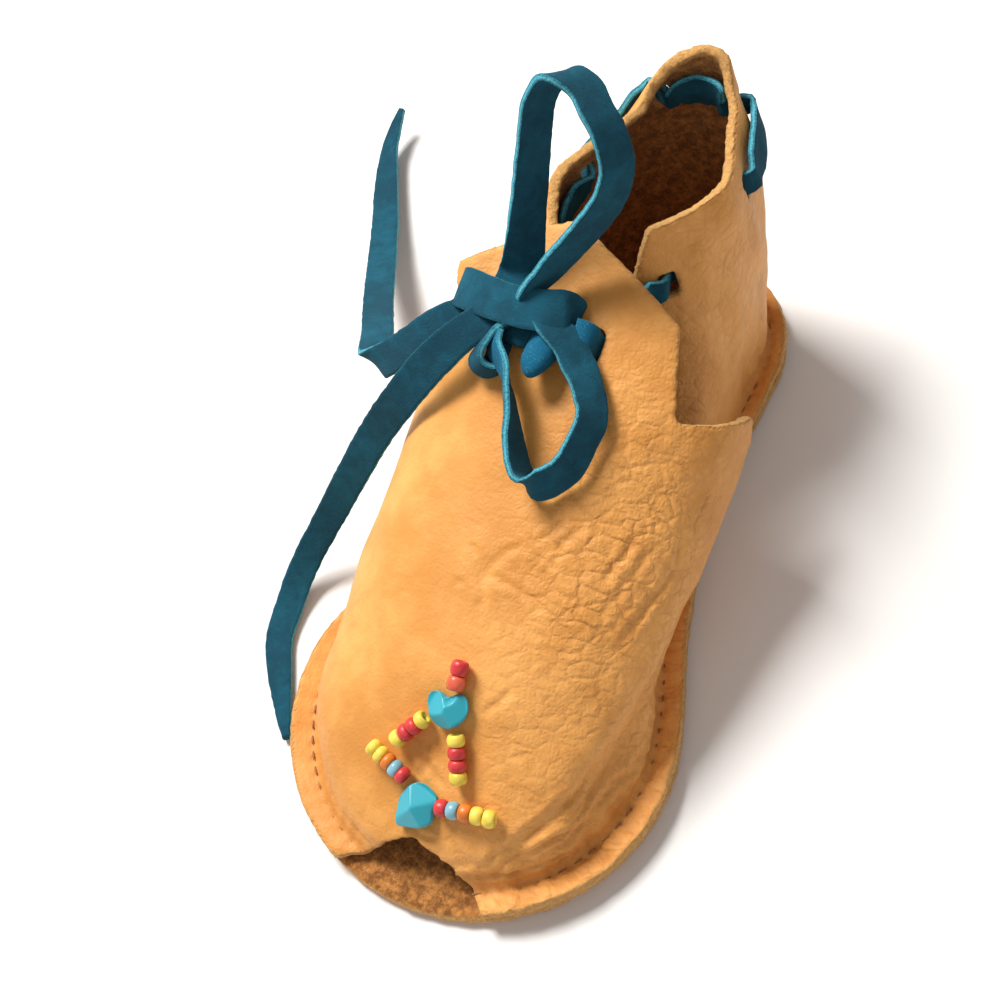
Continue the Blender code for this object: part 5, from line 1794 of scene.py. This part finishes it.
def make_nugget(name, node, centre, corners, facets, hole=None):
    """A tumbled stone: its outline in plan, a rounded waist and soft facets on top."""
    surface, outward = on_vamp(*centre)
    across = Vector((1.0, 0.0, 0.0))
    across = (across - across.project(outward)).normalized()
    ahead = outward.cross(across)
    bm = bmesh.new()

    def vert_at(x, y, height):
        place = surface + outward * (NUGGET_LIFT + height) + across * x + ahead * y
        return bm.verts.new(place * MM)

    angles = [math.radians(angle) for angle in spread(-180.0, 180.0, NUGGET_SIDES)[:-1]]
    rings = []
    for share, height in (*NUGGET_UNDERSIDE, *((share, None) for share in NUGGET_TOP)):
        ring = []
        for angle in angles:
            reach = nugget_reach(corners, math.degrees(angle)) * share
            x, y = reach * math.cos(angle), reach * math.sin(angle)
            level = nugget_height(x, y, share, facets, hole) if height is None else height
            ring.append(vert_at(x, y, level))
        rings.append(ring)
    bridge(bm, rings)
    top = vert_at(0.0, 0.0, nugget_height(0.0, 0.0, 0.0, facets, hole))
    bottom = vert_at(0.0, 0.0, 0.0)
    for number in range(NUGGET_SIDES):
        after = (number + 1) % NUGGET_SIDES
        bm.faces.new((rings[-1][number], rings[-1][after], top))
        bm.faces.new((rings[0][after], rings[0][number], bottom))
    bmesh.ops.recalc_face_normals(bm, faces=bm.faces)
    dress(from_bmesh(name, bm, material_for("turquoise")), "turquoise", node)


def make_nuggets():
    """The heart-shaped stone with its hole, and the wedge below it."""
    make_nugget("heart_stone", "nugget_heart", HEART_CENTRE, HEART, HEART_FACETS, HEART_HOLE)
    make_nugget("wedge_stone", "nugget_wedge", WEDGE_CENTRE, WEDGE, WEDGE_FACETS)


# ---------------------------------------------------------------- stage

CAMERA_PLACE = (0.0730, -0.0842, 0.2040)
CAMERA_TURN = (30.04, 11.14, 26.44)
CAMERA_LENS = 49.5
FLOOR_SIZE = 2.4
FLOOR_Z = -0.0002
AIM = Vector((-6.0, 6.0, 22.0)) * MM
LAMPS = (
    ("key", (-0.60, 0.24, 1.0), 0.80, 0.27, 8.8, (1.0, 0.985, 0.96)),
    ("fill", (0.4, -1.0, 0.9), 0.95, 0.8, 0.8, (1.0, 0.97, 0.95)),
)


def area_lamp(name, towards, distance, size, power, colour):
    """A square lamp in a direction from the shoe, turned to face it."""
    lamp = bpy.data.lights.new(name, "AREA")
    lamp.shape = "SQUARE"
    lamp.size = size
    lamp.energy = power
    lamp.color = colour
    made = bpy.data.objects.new(name, lamp)
    direction = Vector(towards).normalized()
    made.location = AIM + direction * distance
    made.rotation_euler = direction.to_track_quat("Z", "Y").to_euler()
    bpy.context.scene.collection.objects.link(made)


def make_stage():
    """Camera, plain floor, soft key lamp, fill and pale surroundings."""
    scene = bpy.context.scene
    lens = bpy.data.cameras.new("camera")
    lens.lens = CAMERA_LENS
    lens.clip_start = 0.01
    camera = bpy.data.objects.new("camera", lens)
    camera.location = CAMERA_PLACE
    camera.rotation_euler = [math.radians(turn) for turn in CAMERA_TURN]
    scene.collection.objects.link(camera)
    scene.camera = camera

    bm = bmesh.new()
    bmesh.ops.create_grid(bm, x_segments=8, y_segments=8, size=0.5 * FLOOR_SIZE)
    for vert in bm.verts:
        vert.co.z = FLOOR_Z
    from_bmesh("floor", bm, floor_material(scene.moccasin_colours))

    for lamp in LAMPS:
        area_lamp(*lamp)
    world = bpy.data.worlds.new("surroundings")
    world.use_nodes = True
    background = world.node_tree.nodes["Background"]
    background.inputs["Color"].default_value = (1.0, 0.975, 0.955, 1.0)
    background.inputs["Strength"].default_value = 0.30
    scene.world = world
    scene.view_settings.view_transform = "Standard"
    scene.view_settings.look = "None"
    scene.view_settings.exposure = 0.0


# ---------------------------------------------------------------- operators and panel


def step_operator(name, label, summary, make):
    """An operator that makes one piece, or one group of like pieces."""

    def execute(self, context):
        make()
        return {"FINISHED"}

    parts = {"bl_idname": f"moccasin.{name}", "bl_label": label, "__doc__": summary}
    return type(f"MOCCASIN_OT_{name}", (bpy.types.Operator,), {**parts, "execute": execute})


STEPS = (
    step_operator("stage", "Stage", "Sets the camera, floor and lamps", make_stage),
    step_operator("bow", "Bow", "Makes the bow's loops, free ends and knot", make_bow),
    step_operator("ankle_lace", "Ankle lace", "Weaves the lace round the quarter", make_ankle_lace),
    step_operator("sole", "Sole", "Makes the flat sole", make_sole),
    step_operator("vamp", "Vamp", "Makes the vamp with its flap, wings and creases", make_vamp),
    step_operator("quarter", "Quarter", "Makes the heel quarter with its lace holes", make_quarter),
    step_operator("stitches", "Stitches", "Sews the flange", make_stitches),
    step_operator("beads", "Seed beads", "Strings the seed beads", make_beads),
    step_operator("nuggets", "Nuggets", "Sets the turquoise nuggets", make_nuggets),
)


class MOCCASIN_PT_maker(bpy.types.Panel):
    """Lists the shoe's pieces with their sizes and colours"""

    bl_idname = "MOCCASIN_PT_maker"
    bl_label = "Baby Moccasin"
    bl_space_type = "VIEW_3D"
    bl_region_type = "UI"
    bl_category = "Moccasin"

    def draw(self, context):
        for step in STEPS:
            self.layout.operator(step.bl_idname)
        for group in (context.scene.moccasin_sizes, context.scene.moccasin_colours):
            box = self.layout.box()
            for name in group.__annotations__:
                box.prop(group, name)


CLASSES = (MoccasinSizes, MoccasinColours, *STEPS, MOCCASIN_PT_maker)


def register():
    for made in CLASSES:
        bpy.utils.register_class(made)
    bpy.types.Scene.moccasin_sizes = bpy.props.PointerProperty(type=MoccasinSizes)
    bpy.types.Scene.moccasin_colours = bpy.props.PointerProperty(type=MoccasinColours)


def unregister():
    del bpy.types.Scene.moccasin_colours
    del bpy.types.Scene.moccasin_sizes
    for made in reversed(CLASSES):
        bpy.utils.unregister_class(made)


def main():
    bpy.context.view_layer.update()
    register()
    for step in STEPS:
        family, name = step.bl_idname.split(".")
        getattr(getattr(bpy.ops, family), name)()


if __name__ == "__main__":
    main()
